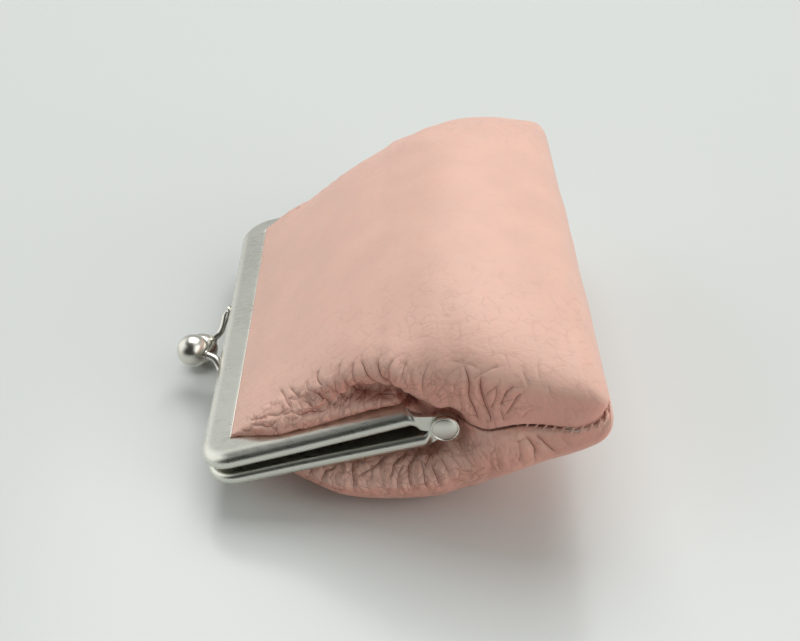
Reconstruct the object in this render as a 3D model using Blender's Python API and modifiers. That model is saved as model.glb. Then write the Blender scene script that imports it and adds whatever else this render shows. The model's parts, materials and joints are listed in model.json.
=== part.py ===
"""Clasp wallet: a small leather coin purse on a nickel kiss-lock frame, lying on its back.

Every piece is modelled in the purse's own frame: X runs from the bar towards the pouch's bottom,
Y along the bar, and Z through the thickness, with the plane between the two frame halves at Z = 0
and the bar's outer face at X = 0. One empty then lays the whole purse on the table, bar end down.
"""

import math

import bmesh
import bpy
from mathutils import Matrix, Vector

MM = 0.001

# Frame: two halves of rolled sheet channel, each bent to a U, riveted together at their ears.
FRAME_WIDTH = 86.0 * MM
RIVET_X = 45.1 * MM
FRAME_CORNER_RADIUS = 6.2 * MM
CHANNEL_DEPTH = 5.4 * MM
CHANNEL_HEIGHT = 3.05 * MM
SHEET = 0.45 * MM
SHOULDER_DEPTH = 2.4 * MM
SHOULDER_HEIGHT = 1.7 * MM
HEEL_RADIUS = 1.0 * MM
INNER_LIP_SETBACK = 0.5 * MM
BAR_GAP = 0.7 * MM
SPLAY = math.radians(1.35)
UPPER_NECK = 6.0 * MM
LOWER_NECK = 4.4 * MM
EAR_RADIUS = 2.5 * MM
EAR_ROOT_RADIUS = 1.2 * MM
EAR_ROOT_HEIGHT = 1.75 * MM
EAR_ROOT_LENGTH = 2.2 * MM

# Hinge rivets
RIVET_SHANK = 2.0 * MM
RIVET_HEAD = 5.1 * MM
RIVET_HEAD_HEIGHT = 0.75 * MM
RIVET_TAIL = 3.2 * MM
RIVET_TAIL_HEIGHT = 0.6 * MM

# Clasp: a ball on a bent wire post on each half, crossed over each other
BALL = 7.0 * MM
BALL_SIDE_GAP = 0.3 * MM
BALL_REACH = 6.4 * MM
UPPER_BALL_EXTRA = 0.8 * MM
BALL_CROSSING = 2.4 * MM
BALL_TABLE_GAP = 0.2 * MM
STEM = 1.5 * MM
STEM_ROOT_Y = 9.1 * MM
STEM_SOCKET_DEPTH = 2.0 * MM

# Leather pouch, lining and threads
POUCH_LENGTH = 73.4 * MM
BOTTOM_SKEW = 0.7 * MM
POUCH_HALF_WIDTH = 51.9 * MM
POUCH_CORNER_RADIUS = 3.6 * MM
SEAM_START = 4.9 * MM
SEAM_START_WIDTH = 1.5 * MM
SEAM_RISE = 1.8 * MM
LEATHER = 0.9 * MM
SKIVED_LEATHER = 0.42 * MM
LEATHER_EDGE_DEPTH = 2.4 * MM
LINING = 0.25 * MM
LINING_EDGE_DEPTH = 3.6 * MM
LINING_GAP = 0.25 * MM
SEAM_THREAD = 0.4 * MM
LINING_THREAD = 0.25 * MM
TWINE = 0.9 * MM
TWINE_DEPTH = 3.1 * MM

# Fullness of the two panels
FRONT_SIDE_BLUNTNESS = 2.6
BACK_SIDE_BLUNTNESS = 2.2
FRONT_CROWN_LINE = ((12.0, 7.6), (20.0, 11.8), (30.0, 16.4), (39.0, 19.4), (48.0, 21.4), (55.0, 20.8),
                    (63.0, 17.2), (69.0, 13.0), (73.4, 10.5))
BACK_CROWN_LINE = ((12.0, 8.8), (17.0, 13.0), (23.0, 18.0), (30.0, 21.2), (40.0, 22.8), (50.0, 22.0),
                   (57.0, 18.6), (66.0, 13.8), (73.4, 8.0))
FRONT_WIDEST = 0.32
BACK_WIDEST = 0.2
OVERHANG_SHARE = 0.85
OVERHANG_FROM = 5.0 * MM
TIGHT_BEND = 4.5 * MM
END_ROUNDING = 5.0 * MM
END_BLUNTNESS = 3.0
FRONT_CUFF = 4.2 * MM
BACK_CUFF = 1.0 * MM
FOLD_CLEARANCE = 0.6 * MM
LIP_CLEARANCE = 0.35 * MM

# Clearances between touching pieces, and how the purse lies
FIT_GAP = 0.08 * MM
CLEARANCE = 0.15 * MM
LYING_TILT = math.radians(15.9)
BELLY_FLAT_DEPTH = 0.5 * MM

# Values worked out from the sizes above
HALF_WIDTH = FRAME_WIDTH / 2
ARM_ENDS = {"front": RIVET_X - UPPER_NECK, "back": RIVET_X - LOWER_NECK}
PANEL_OF = {"upper": "front", "lower": "back"}
LIP_X = CHANNEL_DEPTH
LIP_Y = HALF_WIDTH - CHANNEL_DEPTH
SEAM_START_X = RIVET_X + SEAM_START
LOWER_EAR_Y = HALF_WIDTH - SHEET - CLEARANCE
TAIL_SEAT_Y = LOWER_EAR_Y - SHEET - CLEARANCE
HINGE_EDGE_Y = TAIL_SEAT_Y - RIVET_TAIL_HEIGHT - 2 * CLEARANCE
LEATHER_LEVEL = CHANNEL_HEIGHT - SHEET - FIT_GAP
TWINE_LEVEL = SHEET + FIT_GAP + TWINE / 2
STEM_LEVEL = BAR_GAP / 2 + CHANNEL_HEIGHT - SHOULDER_HEIGHT
BALL_Y = (BALL + BALL_SIDE_GAP) / 2
SEAM_HALF_GAP = SEAM_THREAD / 2 + CLEARANCE
UPPER_REACH = BALL_REACH + UPPER_BALL_EXTRA
LOWEST_BALL = UPPER_REACH * math.sin(LYING_TILT) + BALL_CROSSING * math.cos(LYING_TILT) + BALL / 2
BAR_HEIGHT = LOWEST_BALL + BALL_TABLE_GAP

SEAM_SHARES = (0.0, 0.09, 0.2, 0.33, 0.47, 0.6, 0.72, 0.82, 0.895, 0.945, 0.975, 0.993, 1.0)
SEAM_ROWS = len(SEAM_SHARES)
BULGE_ANGLES = [math.radians(a) for a in (0, 10, 22, 35, 49, 63, 77, 90)]
FLAT_SHARES = (0.99, 0.97, 0.94, 0.89, 0.81, 0.69, 0.52, 0.3, 0.0)
BEND_COLUMNS = (2, 3, 4, 5, 6)
TOP_COLUMN = 7
BEND_REACH = 1.3
CORNER_STEPS = 9
ROUND_STEPS = 32
PANEL_SIDES = {"front": 1.0, "back": -1.0}


def clear_scene():
    for old in list(bpy.data.objects):
        bpy.data.objects.remove(old)


def make_collection(name):
    collection = bpy.data.collections.new(name)
    bpy.context.scene.collection.children.link(collection)
    return collection


def make_material(name, colour, roughness, metallic):
    material = bpy.data.materials.new(name)
    material.use_nodes = True
    shader = material.node_tree.nodes["Principled BSDF"]
    shader.inputs["Base Color"].default_value = (*colour, 1.0)
    shader.inputs["Roughness"].default_value = roughness
    shader.inputs["Metallic"].default_value = metallic
    return material


def add_object(name, data, material):
    """Put mesh or curve data in the purse, under the empty that lays it on the table."""
    piece = bpy.data.objects.new(name, data)
    PURSE.objects.link(piece)
    piece.parent = LYING
    if material is not None:
        piece.data.materials.append(material)
    return piece


def add_cutter(name, data):
    cutter = bpy.data.objects.new(name, data)
    CUTTERS.objects.link(cutter)
    cutter.hide_render = True
    cutter.display_type = "WIRE"
    return cutter


def smooth(mesh, angle=40.0):
    mesh.shade_smooth()
    mesh.set_sharp_from_angle(angle=math.radians(angle))


def polyline(name, points, closed=False, flat=False):
    curve = bpy.data.curves.new(name, "CURVE")
    curve.dimensions = "2D" if flat else "3D"
    spline = curve.splines.new("POLY")
    spline.points.add(len(points) - 1)
    for point, place in zip(spline.points, points):
        point.co = (*place, 0.0, 1.0) if len(place) == 2 else (*place, 1.0)
    spline.use_cyclic_u = closed
    return curve


def curve_to_mesh(name, curve, transform=Matrix()):
    """The mesh that a curve makes, its caps welded on, moved by a matrix."""
    holder = bpy.data.objects.new(name + "_curve", curve)
    bpy.context.scene.collection.objects.link(holder)
    depsgraph = bpy.context.evaluated_depsgraph_get()
    mesh = bpy.data.meshes.new_from_object(holder.evaluated_get(depsgraph))
    mesh.name = name
    work = bmesh.new()
    work.from_mesh(mesh)
    bmesh.ops.remove_doubles(work, verts=work.verts, dist=0.001 * MM)
    bmesh.ops.recalc_face_normals(work, faces=work.faces)
    bmesh.ops.transform(work, matrix=transform, verts=work.verts)
    work.to_mesh(mesh)
    work.free()
    bpy.data.objects.remove(holder)
    return mesh


def tube(name, points, diameter, resolution=2):
    curve = polyline(name, points)
    curve.bevel_depth = diameter / 2
    curve.bevel_resolution = resolution
    curve.use_fill_caps = True
    return curve


def cylinder(diameter, length, transform, sides=ROUND_STEPS):
    mesh = bpy.data.meshes.new("cylinder")
    work = bmesh.new()
    radius = diameter / 2
    bmesh.ops.create_cone(
        work, cap_ends=True, segments=sides, radius1=radius, radius2=radius, depth=length
    )
    bmesh.ops.transform(work, matrix=transform, verts=work.verts)
    work.to_mesh(mesh)
    work.free()
    return mesh


def boolean(piece, other, operation):
    step = piece.modifiers.new(other.name, "BOOLEAN")
    step.operation = operation
    step.object = other
    step.solver = "EXACT"


def arc(centre, radii, start, end, steps):
    """Points of an arc in the plane, angles in degrees."""
    turns = [math.radians(start + (end - start) * k / steps) for k in range(steps + 1)]
    return [(centre[0] + radii[0] * math.cos(a), centre[1] + radii[1] * math.sin(a)) for a in turns]


def u_path(depth, end_x):
    """The U that lies a given depth inside the frame's outer edge, from near arm to far arm."""
    radius = FRAME_CORNER_RADIUS - depth
    side = HALF_WIDTH - depth
    middle = HALF_WIDTH - FRAME_CORNER_RADIUS
    near = arc((FRAME_CORNER_RADIUS, -middle), (radius, radius), 270, 180, CORNER_STEPS)
    far = arc((FRAME_CORNER_RADIUS, middle), (radius, radius), 180, 90, CORNER_STEPS)
    return [(end_x, -side), *near, *far, (end_x, side)]


def arm_end(half):
    return ARM_ENDS[PANEL_OF[half]]


def half_matrix(half):
    """From a frame half's own level, zero at its inner face, to the purse's frame."""
    raise_bar = Matrix.Translation((0, 0, BAR_GAP / 2)) @ Matrix.Rotation(-SPLAY, 4, "Y")
    turn = Matrix.Identity(4) if half == "upper" else Matrix.Rotation(math.pi, 4, "X")
    return turn @ raise_bar


def level_at(x, height):
    """Distance from the purse's middle plane of a point that high in a frame half."""
    return BAR_GAP / 2 + x * math.tan(SPLAY) + height


def channel_section():
    """Outline of the rolled sheet: X is depth from the outer edge, Y is height."""
    heel = (HEEL_RADIUS, HEEL_RADIUS)
    shoulder = (SHOULDER_DEPTH, CHANNEL_HEIGHT - SHOULDER_HEIGHT)
    outside = arc(heel, heel, 270, 180, 3)
    outside += arc(shoulder, (SHOULDER_DEPTH, SHOULDER_HEIGHT), 180, 90, 7)
    inner_heel = HEEL_RADIUS - SHEET
    inside = arc(shoulder, (SHOULDER_DEPTH - SHEET, SHOULDER_HEIGHT - SHEET), 90, 180, 7)
    inside += arc(heel, (inner_heel, inner_heel), 180, 270, 3)
    lip = CHANNEL_DEPTH - INNER_LIP_SETBACK
    return [
        (lip, 0.0),
        *outside,
        (CHANNEL_DEPTH, CHANNEL_HEIGHT),
        (CHANNEL_DEPTH, CHANNEL_HEIGHT - SHEET),
        *inside,
        (lip, SHEET),
    ]


def make_channel(half):
    """One half's channel, swept along its U."""
    section = add_cutter("channel_section_" + half, polyline("section", channel_section(), True, True))
    path = polyline("frame_" + half, u_path(0.0, arm_end(half)), flat=True)
    path.bevel_mode = "OBJECT"
    path.bevel_object = section
    path.use_fill_caps = True
    return curve_to_mesh("frame_" + half, path, half_matrix(half))


def ear_outline(half):
    """Side view of an ear: a link between its root on the arm and the ring round the rivet."""
    root_height = EAR_ROOT_HEIGHT
    root = Vector((arm_end(half) - EAR_ROOT_LENGTH / 2, level_at(arm_end(half), root_height)))
    ring = Vector((RIVET_X, 0.0))
    along = ring - root
    lean = math.degrees(math.atan2(along.y, along.x))
    spread = math.degrees(math.acos((EAR_ROOT_RADIUS - EAR_RADIUS) / along.length))
    ring_arc = arc(ring, (EAR_RADIUS,) * 2, lean - spread, lean + spread, 16)
    root_arc = arc(root, (EAR_ROOT_RADIUS,) * 2, lean + spread, lean + 360 - spread, 8)
    return ring_arc + root_arc


def make_ear(half, side, outer_y):
    """One ear plate, from outer_y inwards, on the side of the frame given by its sign."""
    outline = polyline("ear", ear_outline(half), closed=True, flat=True)
    outline.fill_mode = "BOTH"
    outline.extrude = SHEET / 2
    stand = Matrix.Translation((0, outer_y - SHEET / 2, 0)) @ Matrix.Rotation(math.pi / 2, 4, "X")
    to_side = Matrix.Identity(4) if side > 0 else Matrix.Scale(-1, 4, (0, 1, 0))
    to_half = Matrix.Identity(4) if half == "upper" else Matrix.Scale(-1, 4, (0, 0, 1))
    mesh = curve_to_mesh("ear", outline, to_half @ to_side @ stand)
    make_outward(mesh)
    return mesh


def make_joggle(half, side):
    """The step that carries a lower ear inwards from the arm's outer wall to the inner ear."""
    inner = LOWER_EAR_Y - SHEET
    size = Vector((EAR_ROOT_LENGTH, HALF_WIDTH - SHEET / 2 - inner, 1.2 * EAR_ROOT_RADIUS))
    place = Vector((arm_end(half) - EAR_ROOT_LENGTH / 2, inner + size.y / 2, 0))
    place.z = level_at(arm_end(half), EAR_ROOT_HEIGHT)
    place.y *= side
    place.z *= 1 if half == "upper" else -1
    mesh = bpy.data.meshes.new("joggle")
    work = bmesh.new()
    bmesh.ops.create_cube(work, size=1.0)
    shape = Matrix.Translation(place) @ Matrix.Diagonal((*size, 1.0))
    bmesh.ops.transform(work, matrix=shape, verts=work.verts)
    work.to_mesh(mesh)
    work.free()
    return mesh


def make_outward(mesh):
    work = bmesh.new()
    work.from_mesh(mesh)
    bmesh.ops.recalc_face_normals(work, faces=work.faces)
    work.to_mesh(mesh)
    work.free()


def make_frame_half(half):
    """A channel with its two ears, drilled for the rivets and for the clasp's post."""
    frame = add_object("frame_" + half, make_channel(half), NICKEL_SATIN)
    ear_y = HALF_WIDTH if half == "upper" else LOWER_EAR_Y
    for side, label in ((-1, "near"), (1, "far")):
        ear = add_cutter(f"ear_{half}_{label}", make_ear(half, side, ear_y))
        ear.parent = LYING
        boolean(frame, ear, "UNION")
        if half == "lower":
            joggle = add_cutter("joggle_" + label, make_joggle(half, side))
            joggle.parent = LYING
            boolean(frame, joggle, "UNION")
    across = Matrix.Translation((RIVET_X, 0, 0)) @ Matrix.Rotation(math.pi / 2, 4, "X")
    bore = cylinder(RIVET_SHANK + 2 * CLEARANCE, FRAME_WIDTH + 2 * SHEET, across)
    rivet_cut = add_cutter("rivet_bore_" + half, bore)
    rivet_cut.parent = LYING
    boolean(frame, rivet_cut, "DIFFERENCE")
    turn = 1 if half == "upper" else -1
    along = Matrix.Rotation(math.pi / 2, 4, "Y")
    place = Matrix.Translation((0, turn * STEM_ROOT_Y, turn * STEM_LEVEL))
    hole = cylinder(STEM + 2 * CLEARANCE, 2 * SHOULDER_DEPTH, place @ along, 20)
    stem_cut = add_cutter("stem_hole_" + half, hole)
    stem_cut.parent = LYING
    boolean(frame, stem_cut, "DIFFERENCE")
    smooth(frame.data)
    return frame


def turned(name, profile, steps):
    """A turned solid: a profile of (radius, height) from top to bottom, spun round Z."""
    curve_mesh = bpy.data.meshes.new(name)
    work = bmesh.new()
    places = [work.verts.new((radius, 0.0, height)) for radius, height in profile]
    for first, second in zip(places, places[1:]):
        work.edges.new((first, second))
    work.to_mesh(curve_mesh)
    work.free()
    piece = add_object(name, curve_mesh, NICKEL_BRIGHT)
    screw = piece.modifiers.new("turn", "SCREW")
    screw.steps = steps
    screw.render_steps = steps
    screw.use_merge_vertices = True
    screw.merge_threshold = 0.001 * MM
    screw.use_normal_calculate = False
    return piece


def make_rivet(label, side):
    """A domed rivet through both ears, its plain tail spread on the inside."""
    head_seat = HALF_WIDTH + CLEARANCE
    tail_seat = TAIL_SEAT_Y
    head = RIVET_HEAD / 2
    rim = RIVET_HEAD_HEIGHT * 0.35
    dome = arc((0.0, rim), (head, RIVET_HEAD_HEIGHT - rim), 90, 0, 6)
    profile = [(radius, head_seat + height) for radius, height in dome]
    profile += [
        (head, head_seat),
        (RIVET_SHANK / 2, head_seat),
        (RIVET_SHANK / 2, tail_seat),
        (RIVET_TAIL / 2, tail_seat),
        (RIVET_TAIL / 2, tail_seat - RIVET_TAIL_HEIGHT * 0.6),
        (RIVET_TAIL / 2 * 0.7, tail_seat - RIVET_TAIL_HEIGHT),
        (0.0, tail_seat - RIVET_TAIL_HEIGHT),
    ]
    profile[0] = (0.0, head_seat + RIVET_HEAD_HEIGHT)
    rivet = turned("hinge_rivet_" + label, profile, ROUND_STEPS)
    rivet.location = (RIVET_X, 0.0, 0.0)
    rivet.rotation_euler = (-side * math.pi / 2, 0.0, 0.0)
    smooth(rivet.data)
    return rivet


def bezier(points, steps):
    """Points along a cubic curve with four control points."""
    result = []
    for k in range(steps + 1):
        t = k / steps
        weights = ((1 - t) ** 3, 3 * t * (1 - t) ** 2, 3 * t * t * (1 - t), t**3)
        result.append(sum((w * Vector(p) for w, p in zip(weights, points)), Vector()))
    return result


def make_clasp(half):
    """A ball on its bent post. The lower one is the upper one turned over about X."""
    turn = 1 if half == "upper" else -1
    reach = UPPER_REACH if half == "upper" else BALL_REACH
    centre = Vector((-reach, turn * BALL_Y, -turn * BALL_CROSSING))
    root = Vector((0.0, turn * STEM_ROOT_Y, turn * STEM_LEVEL))
    entry = Vector((0.85, turn * 0.42, turn * 0.30)).normalized()
    socket_floor = centre + entry * (BALL / 2 - STEM_SOCKET_DEPTH)
    surface = centre + entry * (BALL / 2 + STEM / 2)
    inside = root + Vector((SHEET + CLEARANCE, 0, 0))
    outside = root - Vector((STEM, 0, 0))
    swing = [outside, outside - Vector((STEM, 0, 0)), surface + entry * 1.2 * STEM, surface]
    floor_gap = socket_floor + entry * CLEARANCE
    points = [inside, *bezier(swing, 10), floor_gap]
    stem = add_object("clasp_stem_" + half, tube("clasp_stem_" + half, points, STEM, 3), NICKEL_BRIGHT)
    stem.data.splines[0].use_smooth = True

    mesh = bpy.data.meshes.new("clasp_ball_" + half)
    work = bmesh.new()
    bmesh.ops.create_uvsphere(work, u_segments=24, v_segments=14, radius=BALL / 2)
    work.to_mesh(mesh)
    work.free()
    ball = add_object("clasp_ball_" + half, mesh, NICKEL_BRIGHT)
    ball.location = centre
    mouth = centre + entry * BALL / 2
    middle = (mouth + entry * STEM_SOCKET_DEPTH + socket_floor) / 2
    aim = entry.to_track_quat("Z", "Y").to_matrix().to_4x4()
    drill = cylinder(
        STEM + 2 * CLEARANCE, 2 * STEM_SOCKET_DEPTH, Matrix.Translation(middle) @ aim, 20
    )
    socket = add_cutter("ball_socket_" + half, drill)
    socket.parent = LYING
    boolean(ball, socket, "DIFFERENCE")
    smooth(ball.data)


def through(pairs, x):
    """A smooth line through named places, flat outside its ends."""
    if x <= pairs[0][0]:
        return pairs[0][1]
    if x >= pairs[-1][0]:
        return pairs[-1][1]
    last = len(pairs) - 1
    k = next(n for n in range(last) if x <= pairs[n + 1][0])
    (x0, y0), (x1, y1) = pairs[k], pairs[k + 1]
    slopes = []
    for n in (k, k + 1):
        before, after = pairs[max(n - 1, 0)], pairs[min(n + 1, last)]
        slopes.append((after[1] - before[1]) / (after[0] - before[0]))
    reach = x1 - x0
    s = (x - x0) / reach
    settled = y0 + (y1 - y0) * s * s * (3 - 2 * s)
    return settled + reach * s * (1 - s) * (slopes[0] * (1 - s) - slopes[1] * s)


def scaled(line):
    """A line of places given in millimetres, in metres."""
    return [(x * MM, height * MM) for x, height in line]


def seam_half_width(x):
    """Half the pouch's width along its side seam, from beside the rivets to the bottom seam."""
    start = HALF_WIDTH + SEAM_START_WIDTH
    along = (x - SEAM_START_X) / (POUCH_LENGTH - SEAM_START_X)
    swell = through(((0.0, 0.0), (0.12, 0.38), (0.4, 0.5), (0.72, 1.0)), along)
    width = start + (POUCH_HALF_WIDTH - start) * swell
    into_corner = x - (POUCH_LENGTH - POUCH_CORNER_RADIUS)
    if into_corner > 0:
        drop = math.sqrt(max(POUCH_CORNER_RADIUS**2 - into_corner**2, 0.0))
        width -= POUCH_CORNER_RADIUS - drop
    return width


def skewed(x, y):
    """The bottom seam isn't quite square to the bar: it is longer on the near side."""
    along = max((x - SEAM_START_X) / (POUCH_LENGTH - SEAM_START_X), 0.0)
    return x - BOTTOM_SKEW * along * along * y / POUCH_HALF_WIDTH


def seam_level(x):
    """Height of the seam off the middle plane: it climbs towards the bottom."""
    return through(((SEAM_START_X, 0.0), (POUCH_LENGTH, SEAM_RISE)), x)


def table_depth(x):
    """Distance from the middle plane down to the table."""
    return (BAR_HEIGHT + x * math.sin(LYING_TILT)) / math.cos(LYING_TILT)


def fold_x():
    """Where the leather has turned up over the bar's lip."""
    return LIP_X + LIP_CLEARANCE + FOLD_CLEARANCE


def crown_height(x, panel):
    """Height of a panel's middle line off the middle plane."""
    start = fold_x()
    base = level_at(start, CHANNEL_HEIGHT + FOLD_CLEARANCE)
    if x <= start:
        return base
    height = through(((start, base), *CROWNS[panel]), x)
    into_end = (x - POUCH_LENGTH) / END_ROUNDING + 1
    if into_end > 0:
        edge = seam_edge_height(POUCH_LENGTH, panel)
        left = max(1 - into_end**END_BLUNTNESS, 0.0) ** (1 / END_BLUNTNESS)
        height = edge + (height - edge) * left
    return height


def cuff_top(x, panel):
    """How high a panel stands straight up from the arm's lip before it bulges out over the arm."""
    full = FRONT_CUFF if panel == "front" else BACK_CUFF
    end = ARM_ENDS[panel]
    cuff = through(((fold_x(), 0.0), (0.45 * end, 0.3), (0.85 * end, 1.0), (end, 0.8)), x)
    return level_at(x, CHANNEL_HEIGHT + FOLD_CLEARANCE) + full * cuff


def seam_edge_height(x, panel):
    """Height of a panel's sewn edge, on its own side of the middle plane."""
    return SEAM_HALF_GAP + PANEL_SIDES[panel] * seam_level(x)


def flank_half_width(x, panel):
    """Half-width where a panel bulges most."""
    lip = LIP_Y - LIP_CLEARANCE
    seam_mid = (SEAM_START_X + POUCH_LENGTH) / 2
    out = FLANKS[panel]
    places = (
        (fold_x(), lip),
        (0.5 * ARM_ENDS[panel], lip + out[0]),
        (ARM_ENDS[panel], HALF_WIDTH + out[1]),
        (RIVET_X, HALF_WIDTH + out[2]),
        (SEAM_START_X + 0.1 * seam_mid, seam_half_width(SEAM_START_X + 0.1 * seam_mid) + out[3]),
        (seam_mid, seam_half_width(seam_mid) + out[4]),
        (POUCH_LENGTH, seam_half_width(POUCH_LENGTH - POUCH_CORNER_RADIUS) + out[5]),
    )
    return through(places, x)


def channel_corner(x, depth):
    """Half-width of an edge that lies at one depth in the channel, round the bar's corner."""
    radius = FRAME_CORNER_RADIUS - depth
    short = FRAME_CORNER_RADIUS - x
    side = HALF_WIDTH - depth
    if short <= 0:
        return side
    return side - radius + math.sqrt(max(radius**2 - short**2, 0.0))


def section_points(x, panel, edge_depth):
    """A panel's outer surface across the purse at x, from its edge to the middle line.

    Each point is (half-width, height off the middle plane). The first three are the edge, the
    place where it leaves its channel or seam, and the start of the bulge.
    """
    level = level_at(x, LEATHER_LEVEL)
    crown = crown_height(x, panel)
    if x < fold_x():
        edge = channel_corner(x, edge_depth)
        lip = LIP_Y - LIP_CLEARANCE
        inner = min(lip, edge - FOLD_CLEARANCE)
        start = min(lip - FOLD_CLEARANCE, inner - FOLD_CLEARANCE)
        flat = [(start * share, level) for share in FLAT_SHARES]
        return [(edge, level), (inner, level), (start, level), *flat]
    end = ARM_ENDS[panel]
    if x <= end:
        over = cuff_top(x, panel)
        edge = (channel_corner(x, edge_depth), level)
        throat = (LIP_Y - LIP_CLEARANCE, level)
        start = (LIP_Y - LIP_CLEARANCE - 0.3 * FOLD_CLEARANCE, over)
        overhang = OVERHANG_SHARE * max(crown - over - OVERHANG_FROM, 0.0)
        flank = min(flank_half_width(x, panel), start[0] + overhang)
        return [edge, throat, start, *bulge(start, flank, crown, x, panel)]
    if x < SEAM_START_X:
        neck = RIVET_X - end
        slip = through(((end + 0.14 * neck, 0.0), (end + 0.6 * neck, 1.0)), x)
        swing = through(((end, 0.0), (RIVET_X, 1.0)), x)
        free = max((x - RIVET_X - EAR_RADIUS) / (SEAM_START - EAR_RADIUS), 0.0)
        in_arm = section_points(end, panel, edge_depth)
        at_seam = section_points(SEAM_START_X, panel, edge_depth)
        beside = (
            (HINGE_EDGE_Y, SEAM_HALF_GAP),
            (HINGE_EDGE_Y, EAR_RADIUS + CLEARANCE),
            (HALF_WIDTH + 0.8 * FOLD_CLEARANCE, EAR_RADIUS + 3.2 * FOLD_CLEARANCE),
        )
        shares = (slip, slip, swing)
        pinned = [mixed(in_arm[k], beside[k], shares[k]) for k in range(3)]
        edge, throat, start = [mixed(pinned[k], at_seam[k], free) for k in range(3)]
    else:
        closing = (1 - min((x - SEAM_START_X) / (POUCH_LENGTH - SEAM_START_X), 1.0) ** 8) ** 0.5
        width = seam_half_width(x)
        sewn = seam_edge_height(x, panel)
        out = flank_half_width(x, panel) - width
        rise = crown - sewn
        edge = (width, sewn)
        throat = (width + (0.35 * out + LEATHER) * closing - LEATHER, sewn + 0.04 * rise)
        throat = (max(throat[0], width - LEATHER), throat[1])
        start = (width + (0.75 * out + 2 * LEATHER) * closing - 2 * LEATHER, sewn + 0.12 * rise)
        flank = start[0] + (flank_half_width(x, panel) - start[0]) * closing
        return [edge, throat, start, *bulge(start, flank, crown, x, panel)]
    return [edge, throat, start, *bulge(start, flank_half_width(x, panel), crown, x, panel)]


def mixed(first, second, share):
    return tuple(a + (b - a) * share for a, b in zip(first, second))


def bulge(start, flank, crown, x, panel):
    """The rounded side and top of a section, from where its bulge starts to its middle line.

    The back panel's belly is pressed flat where it would reach below the table.
    """
    power = 2 / BLUNTNESS[panel]
    widest = start[1] + WIDEST[panel] * (crown - start[1])
    turn = math.sqrt(0.5)
    points = [(start[0] + (flank - start[0]) * turn, start[1] + (widest - start[1]) * (1 - turn))]
    for a in BULGE_ANGLES:
        height = widest + (crown - widest) * math.sin(a) ** power
        width = flank * abs(math.cos(a)) ** power
        points.append((width if a < math.pi / 2 else 0.0, height))
    if panel == "back":
        points = [(width, min(height, table_depth(x) + BELLY_FLAT_DEPTH)) for width, height in points]
    return points


def stations(panel, edge_depth):
    """Places along the purse where the panels' sections are taken."""
    in_bar = [edge_depth, (edge_depth + 2 * LIP_X) / 3, LIP_X + LIP_CLEARANCE]
    start = fold_x()
    end = ARM_ENDS[panel]
    shares = (0.0, 0.07, 0.17, 0.3, 0.45, 0.6, 0.75, 0.88, 1.0)
    along_arm = [start + (end - start) * s for s in shares]
    neck = [end + (RIVET_X - end) * s for s in (0.14, 0.32, 0.6, 1.0)]
    past_rivet = [RIVET_X + EAR_RADIUS]
    seam = SEAM_START_X
    along_seam = [seam + (POUCH_LENGTH - seam) * s for s in SEAM_SHARES]
    return in_bar + along_arm + neck + past_rivet + along_seam


def panel_surface(name, panel, edge_depth):
    """The outer surface of a panel as one sheet of quads, edge to edge across and along."""
    side = PANEL_SIDES[panel]
    rows = []
    for x in stations(panel, edge_depth):
        half = section_points(x, panel, edge_depth)
        row = [(skewed(x, -width), -width, side * height) for width, height in half]
        row += [(skewed(x, width), width, side * height) for width, height in reversed(half[:-1])]
        rows.append(row)
    work = bmesh.new()
    grid = [[work.verts.new(place) for place in row] for row in rows]
    for first, second in zip(grid, grid[1:]):
        for k in range(len(first) - 1):
            corners = (first[k], second[k], second[k + 1], first[k + 1])
            work.faces.new(corners if side > 0 else corners[::-1])
    work.normal_update()
    mesh = bpy.data.meshes.new(name)
    work.to_mesh(mesh)
    work.free()
    columns = len(rows[0])
    return mesh, len(rows), columns


def clamped_points(panel, rows, columns):
    """Indices of the points that a frame half holds in its channel."""
    places = stations(panel, LEATHER_EDGE_DEPTH)
    last_held_row = sum(1 for x in places if x <= ARM_ENDS[panel])
    held = []
    for r in range(rows):
        for c in range(columns):
            in_bar = r < 3
            in_arm = r < last_held_row and min(c, columns - 1 - c) < 2
            if in_bar or in_arm:
                held.append(r * columns + c)
    return held


def sewn_points(rows, columns):
    """Indices of the points along a panel's sewn edge."""
    first = rows - SEAM_ROWS
    sides = [r * columns + c for r in range(first, rows) for c in (0, columns - 1)]
    return sides + [(rows - 1) * columns + c for c in range(1, columns - 1)]


def thicken(piece, thickness, held, held_thickness):
    """Give a sheet its thickness inwards, thinner where it is held or sewn."""
    group = piece.vertex_groups.new(name="full thickness")
    held = set(held)
    free = [v.index for v in piece.data.vertices if v.index not in held]
    group.add(free, 1.0, "REPLACE")
    group.add(list(held), held_thickness / thickness, "REPLACE")
    shell = piece.modifiers.new("thickness", "SOLIDIFY")
    shell.thickness = thickness
    shell.offset = -1.0
    shell.vertex_group = group.name


def make_leather(panel):
    mesh, rows, columns = panel_surface("leather_" + panel, panel, LEATHER_EDGE_DEPTH)
    leather = add_object("leather_" + panel, mesh, LEATHER_PINK)
    skived = clamped_points(panel, rows, columns) + sewn_points(rows, columns)
    thicken(leather, LEATHER, skived, SKIVED_LEATHER)
    if panel == "back":
        table = bpy.data.meshes.new("table_cut")
        work = bmesh.new()
        bmesh.ops.create_cube(work, size=4 * POUCH_LENGTH)
        bmesh.ops.translate(work, verts=work.verts, vec=(0, 0, -2 * POUCH_LENGTH))
        work.to_mesh(table)
        work.free()
        boolean(leather, add_cutter("table_cut", table), "DIFFERENCE")
    smooth(mesh, 60.0)


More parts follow.
